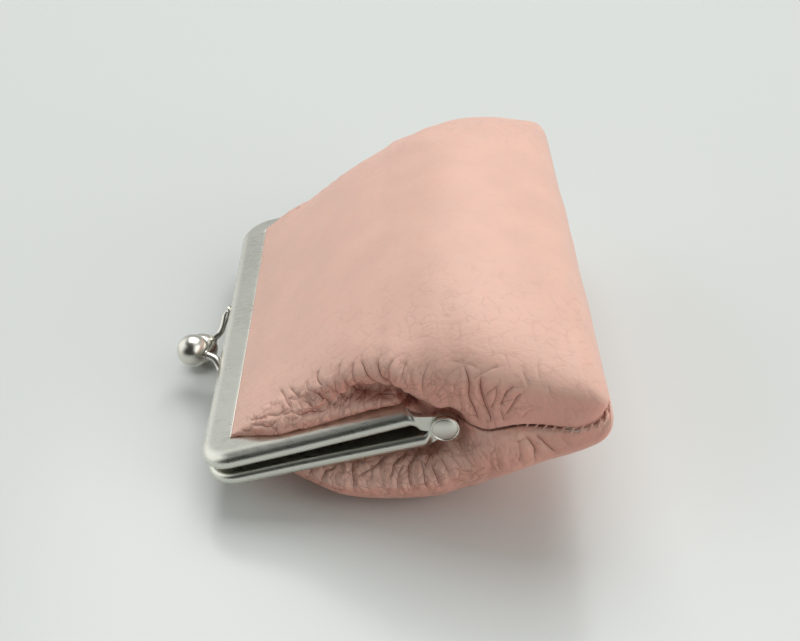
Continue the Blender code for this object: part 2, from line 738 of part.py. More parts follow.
def lining_normals(mesh, panel, columns):
    """Directions to sink the lining in, shared across the tight bend over the arm's lip."""
    normals = [v.normal.copy() for v in mesh.vertices]
    for r, x in enumerate(stations(panel, LINING_EDGE_DEPTH)):
        over_arm = fold_x() <= x <= ARM_ENDS[panel]
        if over_arm and crown_height(x, panel) - cuff_top(x, panel) < TIGHT_BEND:
            top = normals[r * columns + TOP_COLUMN]
            for c in BEND_COLUMNS:
                near, far = r * columns + c, (r + 1) * columns - 1 - c
                normals[near] = Vector((top.x, -BEND_REACH, top.z))
                normals[far] = Vector((top.x, BEND_REACH, top.z))
    return normals


def make_lining(panel):
    """The lining follows the leather's inner face, and stops short of the twine."""
    mesh, rows, columns = panel_surface("lining_" + panel, panel, LINING_EDGE_DEPTH)
    held = set(clamped_points(panel, rows, columns))
    side = PANEL_SIDES[panel]
    for vertex, normal in zip(mesh.vertices, lining_normals(mesh, panel, columns)):
        wall = SKIVED_LEATHER + 2 * FIT_GAP if vertex.index in held else LEATHER + LINING_GAP
        vertex.co -= normal * wall
        if vertex.co.x > SEAM_START_X:
            off_seam = side * (vertex.co.z - seam_level(vertex.co.x))
            vertex.co.z += side * max(SEAM_HALF_GAP + LINING / 2 - off_seam, 0.0)
    for index in sewn_points(rows, columns):
        vertex = mesh.vertices[index]
        vertex.co.y -= math.copysign(2 * LINING_GAP, vertex.co.y)
        if index >= (rows - 1) * columns:
            vertex.co.x -= LINING_GAP
    lining = add_object("lining_" + panel, mesh, LINING_CLOTH)
    thicken(lining, LINING, held, LINING)
    smooth(mesh, 60.0)


def make_twine(half):
    """Paper twine that wedges a panel's edge in its channel."""
    path = [(x, y, TWINE_LEVEL) for x, y in u_path(TWINE_DEPTH, arm_end(half) - TWINE_DEPTH)]
    placed = [half_matrix(half) @ Vector(point) for point in path]
    add_object("twine_" + half, tube("twine_" + half, placed, TWINE), PAPER_TWINE)


def seam_line(inset, spare):
    """The seam's line, from near side round the bottom to far side, a given way in."""
    end = POUCH_LENGTH - inset
    start = SEAM_START_X + spare
    corner = POUCH_LENGTH - POUCH_CORNER_RADIUS
    straight = [start + (corner - start) * k / 10 for k in range(10)]
    near = [(x, -(seam_half_width(x) - inset)) for x in straight]
    middle = POUCH_HALF_WIDTH - POUCH_CORNER_RADIUS
    radius = POUCH_CORNER_RADIUS - inset
    near += arc((corner, -middle), (radius, radius), -90, 0, 5)
    bottom = [(end, -middle + 2 * middle * k / 8) for k in range(1, 8)]
    far = [(x, -y) for x, y in reversed(near)]
    return [(skewed(x, y), y, seam_level(x)) for x, y in near + bottom + far]


def make_thread(name, diameter, inset, material):
    points = seam_line(inset + diameter / 2, diameter)
    add_object(name, tube(name, points, diameter, 1), material)


def lay_on_table():
    """Stand the lying purse over the world's origin, by its own box."""
    bpy.context.view_layer.update()
    depsgraph = bpy.context.evaluated_depsgraph_get()
    spans = []
    for piece in PURSE.objects:
        if piece.type in {"MESH", "CURVE"}:
            shown = piece.evaluated_get(depsgraph)
            mesh = shown.to_mesh()
            spans += [(shown.matrix_world @ v.co).x for v in mesh.vertices]
            shown.to_mesh_clear()
    LYING.location.x -= (min(spans) + max(spans)) / 2


clear_scene()
PURSE = make_collection("clasp_wallet")
CUTTERS = make_collection("cutters")

NICKEL_SATIN = make_material("satin_nickel", (0.47, 0.46, 0.40), 0.30, 1.0)
NICKEL_BRIGHT = make_material("bright_nickel", (0.60, 0.58, 0.52), 0.14, 1.0)
LEATHER_PINK = make_material("pink_leather", (0.73, 0.46, 0.38), 0.55, 0.0)
LINING_CLOTH = make_material("lining_cloth", (0.62, 0.52, 0.44), 0.85, 0.0)
PAPER_TWINE = make_material("paper_twine", (0.66, 0.55, 0.38), 0.90, 0.0)
SEAM_COTTON = make_material("seam_thread", (0.55, 0.30, 0.26), 0.70, 0.0)

BLUNTNESS = {"front": FRONT_SIDE_BLUNTNESS, "back": BACK_SIDE_BLUNTNESS}
WIDEST = {"front": FRONT_WIDEST, "back": BACK_WIDEST}
FLANKS = {
    "front": [s * MM for s in (2.3, 0.8, 2.0, 1.0, 1.0, 0.3)],
    "back": [s * MM for s in (5.9, 3.3, 3.3, 0.9, 0.3, 0.0)],
}
CROWNS = {"front": scaled(FRONT_CROWN_LINE), "back": scaled(BACK_CROWN_LINE)}

LYING = bpy.data.objects.new("lying_on_table", None)
PURSE.objects.link(LYING)
LYING.location = (0.0, 0.0, BAR_HEIGHT)
LYING.rotation_euler = (0.0, -LYING_TILT, 0.0)

for half_name in ("upper", "lower"):
    make_frame_half(half_name)
    make_clasp(half_name)
    make_twine(half_name)
for label_name, side_sign in (("near", -1), ("far", 1)):
    make_rivet(label_name, side_sign)
for panel_name in ("front", "back"):
    make_leather(panel_name)
    make_lining(panel_name)
make_thread("seam_thread", SEAM_THREAD, -SEAM_THREAD / 2, SEAM_COTTON)
make_thread("lining_thread", LINING_THREAD, LEATHER + LINING_GAP, SEAM_COTTON)
lay_on_table()
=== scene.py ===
"""Dresses the clasp wallet: leather, lining, nickel frame, clasp and stitches, on a pale table."""

import json
import math

import bmesh
import bpy
import numpy as np
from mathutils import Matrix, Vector, kdtree, noise
from mathutils.bvhtree import BVHTree


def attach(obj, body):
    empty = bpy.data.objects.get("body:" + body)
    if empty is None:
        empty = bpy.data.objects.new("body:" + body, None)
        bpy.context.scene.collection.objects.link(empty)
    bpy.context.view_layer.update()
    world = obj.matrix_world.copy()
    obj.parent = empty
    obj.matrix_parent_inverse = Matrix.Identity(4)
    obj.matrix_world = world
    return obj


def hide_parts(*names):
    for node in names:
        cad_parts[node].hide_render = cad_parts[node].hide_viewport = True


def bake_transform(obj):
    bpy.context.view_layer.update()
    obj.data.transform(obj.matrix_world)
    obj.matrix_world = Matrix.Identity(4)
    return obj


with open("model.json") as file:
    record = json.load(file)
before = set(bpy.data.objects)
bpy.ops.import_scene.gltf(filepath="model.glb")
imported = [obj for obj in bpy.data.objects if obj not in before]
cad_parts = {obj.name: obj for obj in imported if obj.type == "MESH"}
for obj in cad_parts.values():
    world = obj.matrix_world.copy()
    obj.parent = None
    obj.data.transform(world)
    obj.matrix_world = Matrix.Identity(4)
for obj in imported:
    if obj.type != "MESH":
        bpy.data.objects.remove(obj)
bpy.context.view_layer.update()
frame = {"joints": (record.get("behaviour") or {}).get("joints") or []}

bl_info = {
    "name": "Clasp Wallet",
    "version": (1, 0, 0),
    "blender": (4, 5, 0),
    "location": "3D View > Sidebar > Wallet",
    "description": "A small leather coin purse on a hinged nickel frame, lying on a table",
    "category": "Add Mesh",
}

MM = 0.001

# How the purse lies. In its own frame X runs from the bar inwards, Y along the bar, Z through it.
HINGE = np.array(frame["joints"][0]["pos_m"])
RIVET_X = 45.1 * MM
TILT = math.radians(15.9)
INWARD = np.array((math.cos(TILT), 0.0, math.sin(TILT)))
ALONG = np.array((0.0, 1.0, 0.0))
UPWARD = np.array((-math.sin(TILT), 0.0, math.cos(TILT)))
BAR = HINGE - RIVET_X * INWARD

# Frame halves, as in the part's source
HALF_WIDTH = 43.0 * MM
FRAME_CORNER = 6.2 * MM
CHANNEL_DEPTH = 5.4 * MM
CHANNEL_HEIGHT = 3.05 * MM
SHEET = 0.45 * MM
SHOULDER = (2.4 * MM, 1.7 * MM)
HEEL = 1.0 * MM
LOWER_LIP = 4.9 * MM
BAR_GAP = 0.7 * MM
BAR_EXTRA = 0.7 * MM
SPLAY = math.radians(1.35)
ARM_END = {"upper": 39.1 * MM, "lower": 40.7 * MM}
EAR_RADIUS = 2.5 * MM
LOWER_EAR_INSET = 0.6 * MM
TURN = {"upper": 1, "lower": -1}
BODY_OF = {"upper": "upper_frame", "lower": "pouch"}

# The neck between an arm's end and its ear: levels of its two edges along it, in millimetres
EAR_TOP = ((0.0, 4.15), (1.2, 3.55), (2.9, 3.02), (4.9, 2.5))
EAR_LOW = ((0.0, 1.45), (1.2, 0.7), (2.1, 0.15), (3.4, -0.5), (4.9, -2.2))
EAR_REACH = 6.0 * MM
ARM_BOW = 0.18 * MM

# Clasp and rivets, as in the part's source. The ball shows a little smaller, as in the photo.
BALL = 7.0 * MM
BALL_RADIUS_SHOWN = 3.3 * MM
BALL_REACH = {"upper": 7.2 * MM, "lower": 6.4 * MM}
COLLAR = 1.05 * MM
STEM = 1.5 * MM
STEM_ROOT = np.array((0.0, 9.1, 1.7)) * MM
RIVET_SEAT = HALF_WIDTH + 0.15 * MM
RIVET_INSIDE = 41.8 * MM
TURNED_STEPS = 64

# Two-ply twine in the channels
TWINE_DEPTH = 3.1 * MM
TWINE_LEVEL = 0.98 * MM
TWINE_PITCH = 2.6 * MM
PLY_OFFSET = 0.21 * MM
PLY_RADIUS = 0.23 * MM

# Pouch, as in the part's source
POUCH_LENGTH = 73.4 * MM
POUCH_HALF_WIDTH = 51.9 * MM
POUCH_CORNER = 3.6 * MM
BOTTOM_SKEW = 0.7 * MM
SEAM_START_X = 50.0 * MM
SEAM_START_HALF_WIDTH = 44.5 * MM
SEAM_RISE = 1.8 * MM
LEATHER = 0.9 * MM
SKIVED = 0.42 * MM
LEATHER_EDGE_DEPTH = 2.4 * MM
LINING_EDGE_DEPTH = 3.6 * MM
LINING_SINK = 1.2 * MM
LINING_WALL = 0.25 * MM
LEATHER_LEVEL = 2.52 * MM
LIP_Y = 37.25 * MM
FOLD = 0.6 * MM
FOLD_X = 6.35 * MM
CUFF = {"front": 4.2 * MM, "back": 1.0 * MM}
BLUNTNESS = {"front": 2.6, "back": 2.2}
WIDEST = {"front": 0.32, "back": 0.2}
HINGE_EDGE_Y = 40.9 * MM
SEAM_GAP = 0.12 * MM
SEAM_TUCK = 0.9 * MM
CROWN = {
    "front": ((12, 7.6), (20, 11.8), (30, 16.4), (39, 19.4), (48, 21.4), (55, 20.8), (63, 17.2),
              (69, 13), (73.4, 10.5)),
    "back": ((12, 8.8), (17, 13), (23, 18), (30, 21.2), (40, 22.8), (50, 22), (57, 18.6),
             (66, 13.8), (73.4, 8)),
}
FLANK = {"front": (2.3, 0.8, 2.0, 1.0, 1.0, 0.3), "back": (5.9, 3.3, 3.3, 0.9, 0.3, 0.0)}
SIDE = {"front": 1.0, "back": -1.0}
HALF_OF = {"front": "upper", "back": "lower"}

# How the belly lies on the table, and the panels' points: rows along the purse, columns across it
BELLY_LEVEL = BAR[2] / math.cos(TILT)
TABLE_CLEARANCE = 0.02 * MM
BELLY_CLEARANCE = 0.35 * MM
BELLY_SOFTNESS = 1.2 * MM
LEATHER_GRID = (241, 299)
LINING_GRID = (91, 149)
EDGE_COLUMNS = 4
THROAT_COLUMNS = 8
LEATHER_RELAX = 16
LINING_RELAX = 10

# The camera, from the photo's perspective: 800 x 641 pixels
VIEW_WIDTH, VIEW_HEIGHT = 800.0, 641.0
VIEW_FOCAL = 1287.0
VIEW_PITCH = math.radians(34.2)
VIEW_PLACE = BAR + np.array((35.5, -218.0, 153.6)) * MM
SENSOR = 36.0

# Stage and looks. The flag is the room's dark patch overhead, the glow its bright one.
TABLE_REACH = 2.5
LAMP_PLACE = (0.04, 0.42, 0.88)
LAMP_TARGET = (0.0, 0.0, 0.01)
LAMP_SIZE = (0.85, 0.8)
LAMP_COLOUR = (1.0, 1.0, 0.99)
FLAG_AIM = (-0.32, 0.05, 0.94)
GLOW_AIM = (0.75, -0.52, 0.44)
# Painted shade: leather facing down is multiplied by this deeper, redder colour.
UNDERSIDE_PAINTED_SHADE = (1.0, 0.81, 0.79)
LINING_COLOUR = (0.66, 0.57, 0.485)
THREAD_COLOUR = (0.66, 0.38, 0.31)
TWINE_COLOUR = (0.62, 0.52, 0.37)


def lie(points):
    """Points of the purse's own frame, as it lies on the table."""
    p = np.asarray(points, float)
    return BAR + p[..., 0:1] * INWARD + p[..., 1:2] * ALONG + p[..., 2:3] * UPWARD


def in_purse(points):
    """Points on the table, in the purse's own frame."""
    p = np.asarray(points, float) - BAR
    return np.stack((p @ INWARD, p @ ALONG, p @ UPWARD), -1)


def ease(x, low, high):
    """From 0 at low to 1 at high, level at both."""
    t = np.clip((x - low) / (high - low), 0.0, 1.0)
    return t * t * (3 - 2 * t)


def through(pairs, x):
    """A smooth line through named places, flat outside its ends."""
    if x <= pairs[0][0]:
        return pairs[0][1]
    if x >= pairs[-1][0]:
        return pairs[-1][1]
    last = len(pairs) - 1
    k = next(n for n in range(last) if x <= pairs[n + 1][0])
    (x0, y0), (x1, y1) = pairs[k], pairs[k + 1]
    slopes = []
    for n in (k, k + 1):
        before, after = pairs[max(n - 1, 0)], pairs[min(n + 1, last)]
        slopes.append((after[1] - before[1]) / (after[0] - before[0]))
    reach = x1 - x0
    s = (x - x0) / reach
    settled = y0 + (y1 - y0) * s * s * (3 - 2 * s)
    return settled + reach * s * (1 - s) * (slopes[0] * (1 - s) - slopes[1] * s)


def level_at(x, height):
    """Distance from the purse's middle plane of a point that high in a frame half."""
    return BAR_GAP / 2 + x * math.tan(SPLAY) + height


def arc(centre, radii, start, end, steps):
    """Points of an ellipse's arc between two angles in degrees."""
    turns = np.radians(np.linspace(start, end, steps + 1))
    return [(centre[0] + radii[0] * math.cos(a), centre[1] + radii[1] * math.sin(a)) for a in turns]


def unit(vectors):
    """Vectors drawn out or in to length one."""
    vectors = np.asarray(vectors, float)
    return vectors / np.linalg.norm(vectors, axis=-1, keepdims=True)


def distances(points):
    """How far along a line each of its points lies."""
    steps = np.linalg.norm(np.diff(points, axis=0), axis=1)
    return np.concatenate(([0.0], np.cumsum(np.maximum(steps, 1e-9))))


def smooth_line(points, at, want):
    """Points at the wanted distances along a smooth line through given ones."""
    slopes = np.gradient(points, at, axis=0)
    k = np.clip(np.searchsorted(at, want, side="right") - 1, 0, len(at) - 2)
    h = (at[k + 1] - at[k])[:, None]
    s = ((want - at[k]) / h[:, 0])[:, None]
    return ((2 * s**3 - 3 * s**2 + 1) * points[k] + (s**3 - 2 * s**2 + s) * h * slopes[k]
            + (3 * s**2 - 2 * s**3) * points[k + 1] + (s**3 - s**2) * h * slopes[k + 1])


# Meshes

def mesh_piece(name, points, faces, material):
    """A mesh object from points in the purse's own frame."""
    mesh = bpy.data.meshes.new(name)
    mesh.from_pydata([tuple(p) for p in lie(points)], [], faces)
    mesh.validate()
    mesh.shade_smooth()
    mesh.materials.append(material)
    piece = bpy.data.objects.new(name, mesh)
    bpy.context.scene.collection.objects.link(piece)
    return piece


def ring_faces(rings, around, first=0, closed_ends=True):
    """Quads of a tube of rings, with its two end caps."""
    faces = []
    for r in range(rings - 1):
        for k in range(around):
            a, b = first + r * around + k, first + r * around + (k + 1) % around
            faces.append((a, b, b + around, a + around))
    if closed_ends:
        faces.append(tuple(first + k for k in range(around))[::-1])
        faces.append(tuple(first + (rings - 1) * around + k for k in range(around)))
    return faces


def make_outward(mesh):
    """Turn a closed mesh's faces outwards, by the sign of its volume."""
    work = bmesh.new()
    work.from_mesh(mesh)
    bmesh.ops.recalc_face_normals(work, faces=work.faces)
    if work.calc_volume(signed=True) < 0:
        bmesh.ops.reverse_faces(work, faces=work.faces)
    work.to_mesh(mesh)
    work.free()


def solid_piece(name, points, faces, material, sharp_angle=None):
    """A closed piece with its faces outwards."""
    piece = mesh_piece(name, points, faces, material)
    make_outward(piece.data)
    if sharp_angle:
        piece.data.set_sharp_from_angle(angle=math.radians(sharp_angle))
    return piece


def frames_along(path):
    """Two cross directions at each point of a path, without twist."""
    tangents = unit(np.gradient(path, axis=0))
    start = np.cross(tangents[0], (0.0, 0.0, 1.0))
    if np.linalg.norm(start) < 1e-6:
        start = np.cross(tangents[0], (0.0, 1.0, 0.0))
    sides = [unit(start)]
    for t in tangents[1:]:
        sides.append(unit(sides[-1] - t * np.dot(sides[-1], t)))
    sides = np.array(sides)
    return sides, np.cross(tangents, sides)


def tube_rings(path, radii, around, flat=1.0):
    """Rings of points round a path. flat scales the second direction at each point."""
    path = np.asarray(path, float)
    first, second = frames_along(path)
    turns = np.linspace(0, 2 * math.pi, around, endpoint=False)
    first, second = first[:, None, :], second[:, None, :] * (flat * np.ones(len(path)))[:, None, None]
    round_it = np.cos(turns)[:, None] * first + np.sin(turns)[:, None] * second
    return (path[:, None, :] + (radii * np.ones(len(path)))[:, None, None] * round_it).reshape(-1, 3)


def joined_tubes(paths, radii, around):
    """Points and faces of a mesh of separate tubes."""
    points = np.concatenate([tube_rings(path, radii, around) for path in paths])
    faces, first = [], 0
    for path in paths:
        faces += ring_faces(len(path), around, first)
        first += len(path) * around
    return points, faces


def spun(profile, centre, axis):
    """Points and faces of a turned solid: (radius, height) pairs from pole to pole, round an axis."""
    steps = TURNED_STEPS
    axis = unit(axis)
    first = unit(np.cross(axis, (1.0, 0.0, 0.0) if abs(axis[0]) < 0.9 else (0.0, 1.0, 0.0)))
    second = np.cross(axis, first)
    turns = np.linspace(0, 2 * math.pi, steps, endpoint=False)
    spokes = np.cos(turns)[:, None] * first + np.sin(turns)[:, None] * second
    rings = [centre + height * axis + radius * spokes for radius, height in profile[1:-1]]
    poles = [np.array([centre + height * axis]) for _, height in (profile[0], profile[-1])]
    points = np.concatenate((poles[0], *rings, poles[1]))
    last = len(points) - 1
    faces = []
    for k in range(steps):
        after = (k + 1) % steps
        faces += [(0, 1 + k, 1 + after), (last, last - steps + after, last - steps + k)]
    return points, faces + ring_faces(len(rings), steps, 1, closed_ends=False)


# Frame halves

def channel_outline():
    """The rolled sheet's outline as (depth, height), its outer skin first, from lip to lip."""
    lip = SHEET / 2
    shoulder = (SHOULDER[0], CHANNEL_HEIGHT - SHOULDER[1])
    outside = [(LOWER_LIP, 0.0), *[(LOWER_LIP - k * MM, 0.0) for k in (1, 2, 3)]]
    outside += arc((HEEL, HEEL), (HEEL, HEEL), 270, 180, 8)
    outside += arc(shoulder, SHOULDER, 180, 90, 16)
    outside += [(SHOULDER[0] + k * MM, CHANNEL_HEIGHT) for k in (0.7, 1.5, 2.3)]
    edge = arc((CHANNEL_DEPTH - lip, CHANNEL_HEIGHT - lip), (lip, lip), 90, -90, 8)
    inner = HEEL - SHEET
    inside = [(SHOULDER[0] + k * MM, CHANNEL_HEIGHT - SHEET) for k in (2.3, 1.5, 0.7)]
    inside += arc(shoulder, (SHOULDER[0] - SHEET, SHOULDER[1] - SHEET), 90, 180, 16)
    inside += arc((HEEL, HEEL), (inner, inner), 180, 270, 8)
    inside += [(LOWER_LIP - k * MM, SHEET) for k in (3, 2, 1)]
    closing = arc((LOWER_LIP - lip, lip), (lip, lip), 90, -60, 5)[:-1]
    return np.array(outside[1:]), np.array(edge), np.array(inside), np.array(closing)


def ear_span(half, x):
    """Lowest and highest level of the ear plate beyond an arm's end, upper half's way up."""
    past = x - RIVET_X
    ring = math.sqrt(max(EAR_RADIUS**2 - past**2, (0.12 * MM) ** 2))
    if past >= 0:
        return -ring, ring
    off = (x - ARM_END[half]) / (RIVET_X - ARM_END[half]) * EAR_REACH / MM
    low, top = through(EAR_LOW, off) * MM, through(EAR_TOP, off) * MM
    if past > -EAR_RADIUS:
        return min(low, -ring), max(top, ring)
    return low, top


def arm_stations(half):
    """Places along an arm beyond the corner, and how much of the channel is left at each."""
    end = ARM_END[half]
    places = list(np.linspace(FRAME_CORNER + 1.0 * MM, end - 3.0 * MM, 16))
    places += list(np.linspace(end - 2.4 * MM, end + 1.7 * MM, 18))
    places += list(np.linspace(end + 2.1 * MM, RIVET_X, 5))
    places += [RIVET_X + EAR_RADIUS * math.sin(a) for a in np.radians((15, 32, 48, 62, 74, 83, 89.5))]
    return [(x, 1.0 - float(ease(x, end - 0.6 * MM, end + 1.7 * MM))) for x in places]


def frame_ring(half, place, inward, left):
    """One ring of a frame half at a point of its outer edge, with the channel's share left there."""
    outside, edge, inside, closing = channel_outline()
    flat = np.concatenate((outside, edge, inside, closing))
    x, end = place[0], ARM_END[half]
    depth, level = flat[:, 0], level_at(x, flat[:, 1])
    depth = depth + BAR_EXTRA * ease(depth, 3.0 * MM, 5.0 * MM) * (1 - ease(x, 1.0 * MM, 7.0 * MM))
    if x > end - 2.6 * MM:
        drawn_in = ease(x, end - 2.6 * MM, end + 0.7 * MM)
        depth = np.minimum(depth, depth * (1 - drawn_in) + SHOULDER[0] * drawn_in)
    if left < 1.0:
        low, top = ear_span(half, x)
        n_out = len(outside) + len(edge) // 2
        n_in = len(flat) - n_out
        rise = np.concatenate((np.linspace(0, 1, n_out), np.linspace(1, 0, n_in)))
        inset = LOWER_EAR_INSET * ease(x, end - 0.9 * MM, RIVET_X - EAR_RADIUS) if half == "lower" else 0.0
        depth = depth * left + (np.repeat((0.0, SHEET), (n_out, n_in)) + inset) * (1 - left)
        level = level * left + (low + (top - low) * rise) * (1 - left)
    return np.stack((x + inward[0] * depth, place[1] + inward[1] * depth, TURN[half] * level), -1)


def make_frame_half(half, material):
    """A rolled channel swept round its U, drawn down to a flat ear at each end."""
    near = [((x, -HALF_WIDTH), (0.0, 1.0), left) for x, left in reversed(arm_stations(half))]
    for place in arc((FRAME_CORNER, FRAME_CORNER - HALF_WIDTH), (FRAME_CORNER, FRAME_CORNER), 270, 180, 14):
        inward = (1 - place[0] / FRAME_CORNER, 1 - (place[1] + HALF_WIDTH) / FRAME_CORNER)
        near.append((place, inward, 1.0))
    bar = [((0.0, y), (1.0, 0.0), 1.0) for y in np.linspace(-30, 30, 13) * MM]
    far = [((p[0], -p[1]), (n[0], -n[1]), left) for p, n, left in reversed(near)]
    rings = [frame_ring(half, *station) for station in near + bar + far]
    points = np.concatenate(rings)
    outer = ease(np.abs(points[:, 1]), 12 * MM, HALF_WIDTH) * (1 - ease(points[:, 0], 4 * MM, 20 * MM))
    points[:, 2] += TURN[half] * ARM_BOW * outer
    faces = ring_faces(len(rings), len(rings[0]))
    piece = solid_piece("nickel_frame_" + half, points, faces, material, 38)
    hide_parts("frame_" + half)
    return piece


# Clasp and rivets

def clasp_line(half):
    """Ball centre, entry direction and post path, as in the part's source."""
    mirror = np.array((1, TURN[half], TURN[half]))
    centre = np.array((-BALL_REACH[half], 3.65 * MM, -2.4 * MM)) * mirror
    root = STEM_ROOT * mirror
    entry = unit((0.85, 0.42, 0.30) * mirror)
    surface = centre + entry * (BALL + STEM) / 2
    outside = root - (0.3 * MM, 0, 0)
    bend = np.array((-1.5, -1.5, -0.3)) * MM * mirror
    t = np.linspace(0, 1, 25)[:, None]
    curve = ((1 - t) ** 3 * outside + 3 * t * (1 - t) ** 2 * (outside + bend)
             + 3 * t * t * (1 - t) * (surface + entry * 1.5 * STEM) + t**3 * surface)
    start = [root + (x * MM, 0, 0) for x in (1.2, 0.5)]
    return centre, entry, np.array([*start, *curve, centre + entry * (BALL / 2 - 0.9 * MM)])


def make_ball(half, material):
    """A turned ball with a small collar where its post goes in."""
    centre, entry, _ = clasp_line(half)
    radius = BALL_RADIUS_SHOWN
    turns = np.linspace(0, math.pi - math.asin(COLLAR / radius), 40)
    profile = [(radius * math.sin(a), -radius * math.cos(a)) for a in turns]
    top = profile[-1][1]
    collar = ((1, 0.12), (0.98, 0.24), (0.86, 0.3), (0, 0.3))
    profile += [(share * COLLAR, top + rise * MM) for share, rise in collar]
    points, faces = spun(profile, centre, entry)
    ball = solid_piece("nickel_ball_" + half, points, faces, material, 50)
    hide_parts("clasp_ball_" + half)
    return ball


def make_post(half, material):
    """The bent wire post, its middle pressed a little flat, with a shoulder against the bar."""
    path = clasp_line(half)[2]
    share = distances(path)
    share /= share[-1]
    radii = STEM / 2 * (1 + 0.06 * ease(share, 0.2, 0.45) * (1 - ease(share, 0.7, 0.95)))
    flat = 1 - 0.2 * ease(share, 0.3, 0.5) * (1 - ease(share, 0.75, 0.92))
    wire = tube_rings(path, radii, 20, flat)
    root = STEM_ROOT * (1, TURN[half], TURN[half])
    turns = np.linspace(0, 2 * math.pi, 28, endpoint=False)
    shoulder = [
        root + np.stack((np.full(28, out * MM), radius * MM * np.cos(turns), radius * MM * np.sin(turns)), -1)
        for radius, out in ((1.0, 0.3), (1.25, 0.15), (1.3, -0.1), (1.15, -0.3), (0.9, -0.36))
    ]
    faces = ring_faces(len(path), 20) + ring_faces(len(shoulder), 28, len(wire))
    points = np.concatenate((wire, *shoulder))
    post = solid_piece("nickel_post_" + half, points, faces, material, 45)
    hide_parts("clasp_stem_" + half)
    return post


def make_rivet(label, material):
    """A rivet with a low domed head, its rim softly rounded, and a spread tail inside."""
    side = -1 if label == "near" else 1
    head, rim, shank, tail = 2.55, 0.17, 1.0, 1.6
    profile = [(r, 0.74 + 0.4 * (1 - (r / 2.2) ** 2)) for r in np.linspace(0, 2.2, 16)]
    profile += [(head - rim + rim * math.sin(a), 0.66 + rim * math.cos(a))
                for a in np.radians((-70, -45, -20, 0, 22, 45, 67, 90))]
    profile += [(head, 0.06), (head - 0.06, 0.0), (shank, 0.0)]
    profile = [(r * MM, RIVET_SEAT + h * MM) for r, h in profile]
    inside = ((shank, 0.0), (tail, 0.0), (tail, 0.2), (0.9 * tail, 0.38), (0.62 * tail, 0.55), (0.0, 0.6))
    profile += [(r * MM, RIVET_INSIDE - h * MM) for r, h in inside]
    points, faces = spun(profile, np.array((RIVET_X, 0.0, 0.0)), (0, side, 0))
    rivet = solid_piece("nickel_rivet_" + label, points, faces, material, 50)
    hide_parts("hinge_rivet_" + label)
    return rivet


# Pouch panels

def seam_half_width(x):
    along = (x - SEAM_START_X) / (POUCH_LENGTH - SEAM_START_X)
    swell = through(((0.0, 0.0), (0.12, 0.38), (0.4, 0.5), (0.72, 1.0)), along)
    width = SEAM_START_HALF_WIDTH + (POUCH_HALF_WIDTH - SEAM_START_HALF_WIDTH) * swell
    into_corner = x - (POUCH_LENGTH - POUCH_CORNER)
    if into_corner > 0:
        width -= POUCH_CORNER - math.sqrt(max(POUCH_CORNER**2 - into_corner**2, 0.0))
    return width


def skewed(x, y):
    """The bottom seam is a little longer on the near side."""
    along = max((x - SEAM_START_X) / (POUCH_LENGTH - SEAM_START_X), 0.0)
    return x - BOTTOM_SKEW * along * along * y / POUCH_HALF_WIDTH


def seam_level(x):
    """The sewn line stays low along the side and turns up round the corner."""
    low = ((50, 0.0), (57, 0.1), (63, -0.1), (67.5, -0.3), (70.5, 0.1), (72.4, 1.0))
    return through([(a * MM, b * MM) for a, b in (*low, (73.4, SEAM_RISE / MM))], x)


def seam_levels(x):
    """The sewn line's level for an array of places."""
    table = np.linspace(SEAM_START_X, POUCH_LENGTH, 200)
    return np.interp(x, table, [seam_level(a) for a in table])


def table_depth(x):
    return BELLY_LEVEL + x * math.tan(TILT)


def crown_height(x, panel):
    """Height of a panel's middle line off the middle plane."""
    base = level_at(FOLD_X, CHANNEL_HEIGHT + FOLD)
    if x <= FOLD_X:
        return base
    height = through(((FOLD_X, base), *[(a * MM, b * MM) for a, b in CROWN[panel]]), x)
    into_end = (x - POUCH_LENGTH) / (5.0 * MM) + 1
    if into_end > 0:
        edge = SEAM_GAP + SIDE[panel] * seam_level(POUCH_LENGTH)
        left = max(1 - into_end**3, 0.0) ** (1 / 3)
        height = edge + (height - edge) * left
    return height


def cuff_top(x, panel):
    end = ARM_END[HALF_OF[panel]]
    cuff = through(((FOLD_X, 0.0), (0.45 * end, 0.3), (0.85 * end, 1.0), (end, 0.8)), x)
    return level_at(x, CHANNEL_HEIGHT + FOLD) + CUFF[panel] * cuff


def flank_half_width(x, panel):
    """Half-width where a panel bulges most."""
    end = ARM_END[HALF_OF[panel]]
    middle = (SEAM_START_X + POUCH_LENGTH) / 2
    early = SEAM_START_X + 0.1 * middle
    out = [f * MM for f in FLANK[panel]]
    places = (
        (FOLD_X, LIP_Y),
        (0.5 * end, LIP_Y + out[0]),
        (end, HALF_WIDTH + out[1]),
        (RIVET_X, HALF_WIDTH + out[2]),
        (early, seam_half_width(early) + out[3]),
        (middle, seam_half_width(middle) + out[4]),
        (POUCH_LENGTH, seam_half_width(POUCH_LENGTH - POUCH_CORNER) + out[5]),
    )
    return through(places, x)


def channel_corner(x, depth):
    """Half-width of an edge that lies at one depth in the channel, round the bar's corner."""
    radius = FRAME_CORNER - depth
    short = FRAME_CORNER - x
    side = HALF_WIDTH - depth
    if short <= 0:
        return side
    return side - radius + math.sqrt(max(radius**2 - short**2, 0.0))


def bulge(start, flank, crown, x, panel):
    """The rounded side and top of a section, its belly pressed flat on the table."""
    power = 2 / BLUNTNESS[panel]
    widest = start[1] + WIDEST[panel] * (crown - start[1])
    turn = math.sqrt(0.5)
    points = [(start[0] + (flank - start[0]) * turn, start[1] + (widest - start[1]) * (1 - turn))]
    for a in np.radians((0, 6, 12, 20, 28, 36, 44, 52, 60, 67, 73, 79, 84, 90)):
        height = widest + (crown - widest) * math.sin(a) ** power
        points.append((flank * abs(math.cos(a)) ** power if a < 1.57 else 0.0, height))
    if panel == "back":
        floor = table_depth(x) + BELLY_CLEARANCE
        soft = BELLY_SOFTNESS
        points = [(w, h if h < floor - soft else floor - soft * math.exp(-(h - floor + soft) / soft))
                  for w, h in points]
    return points


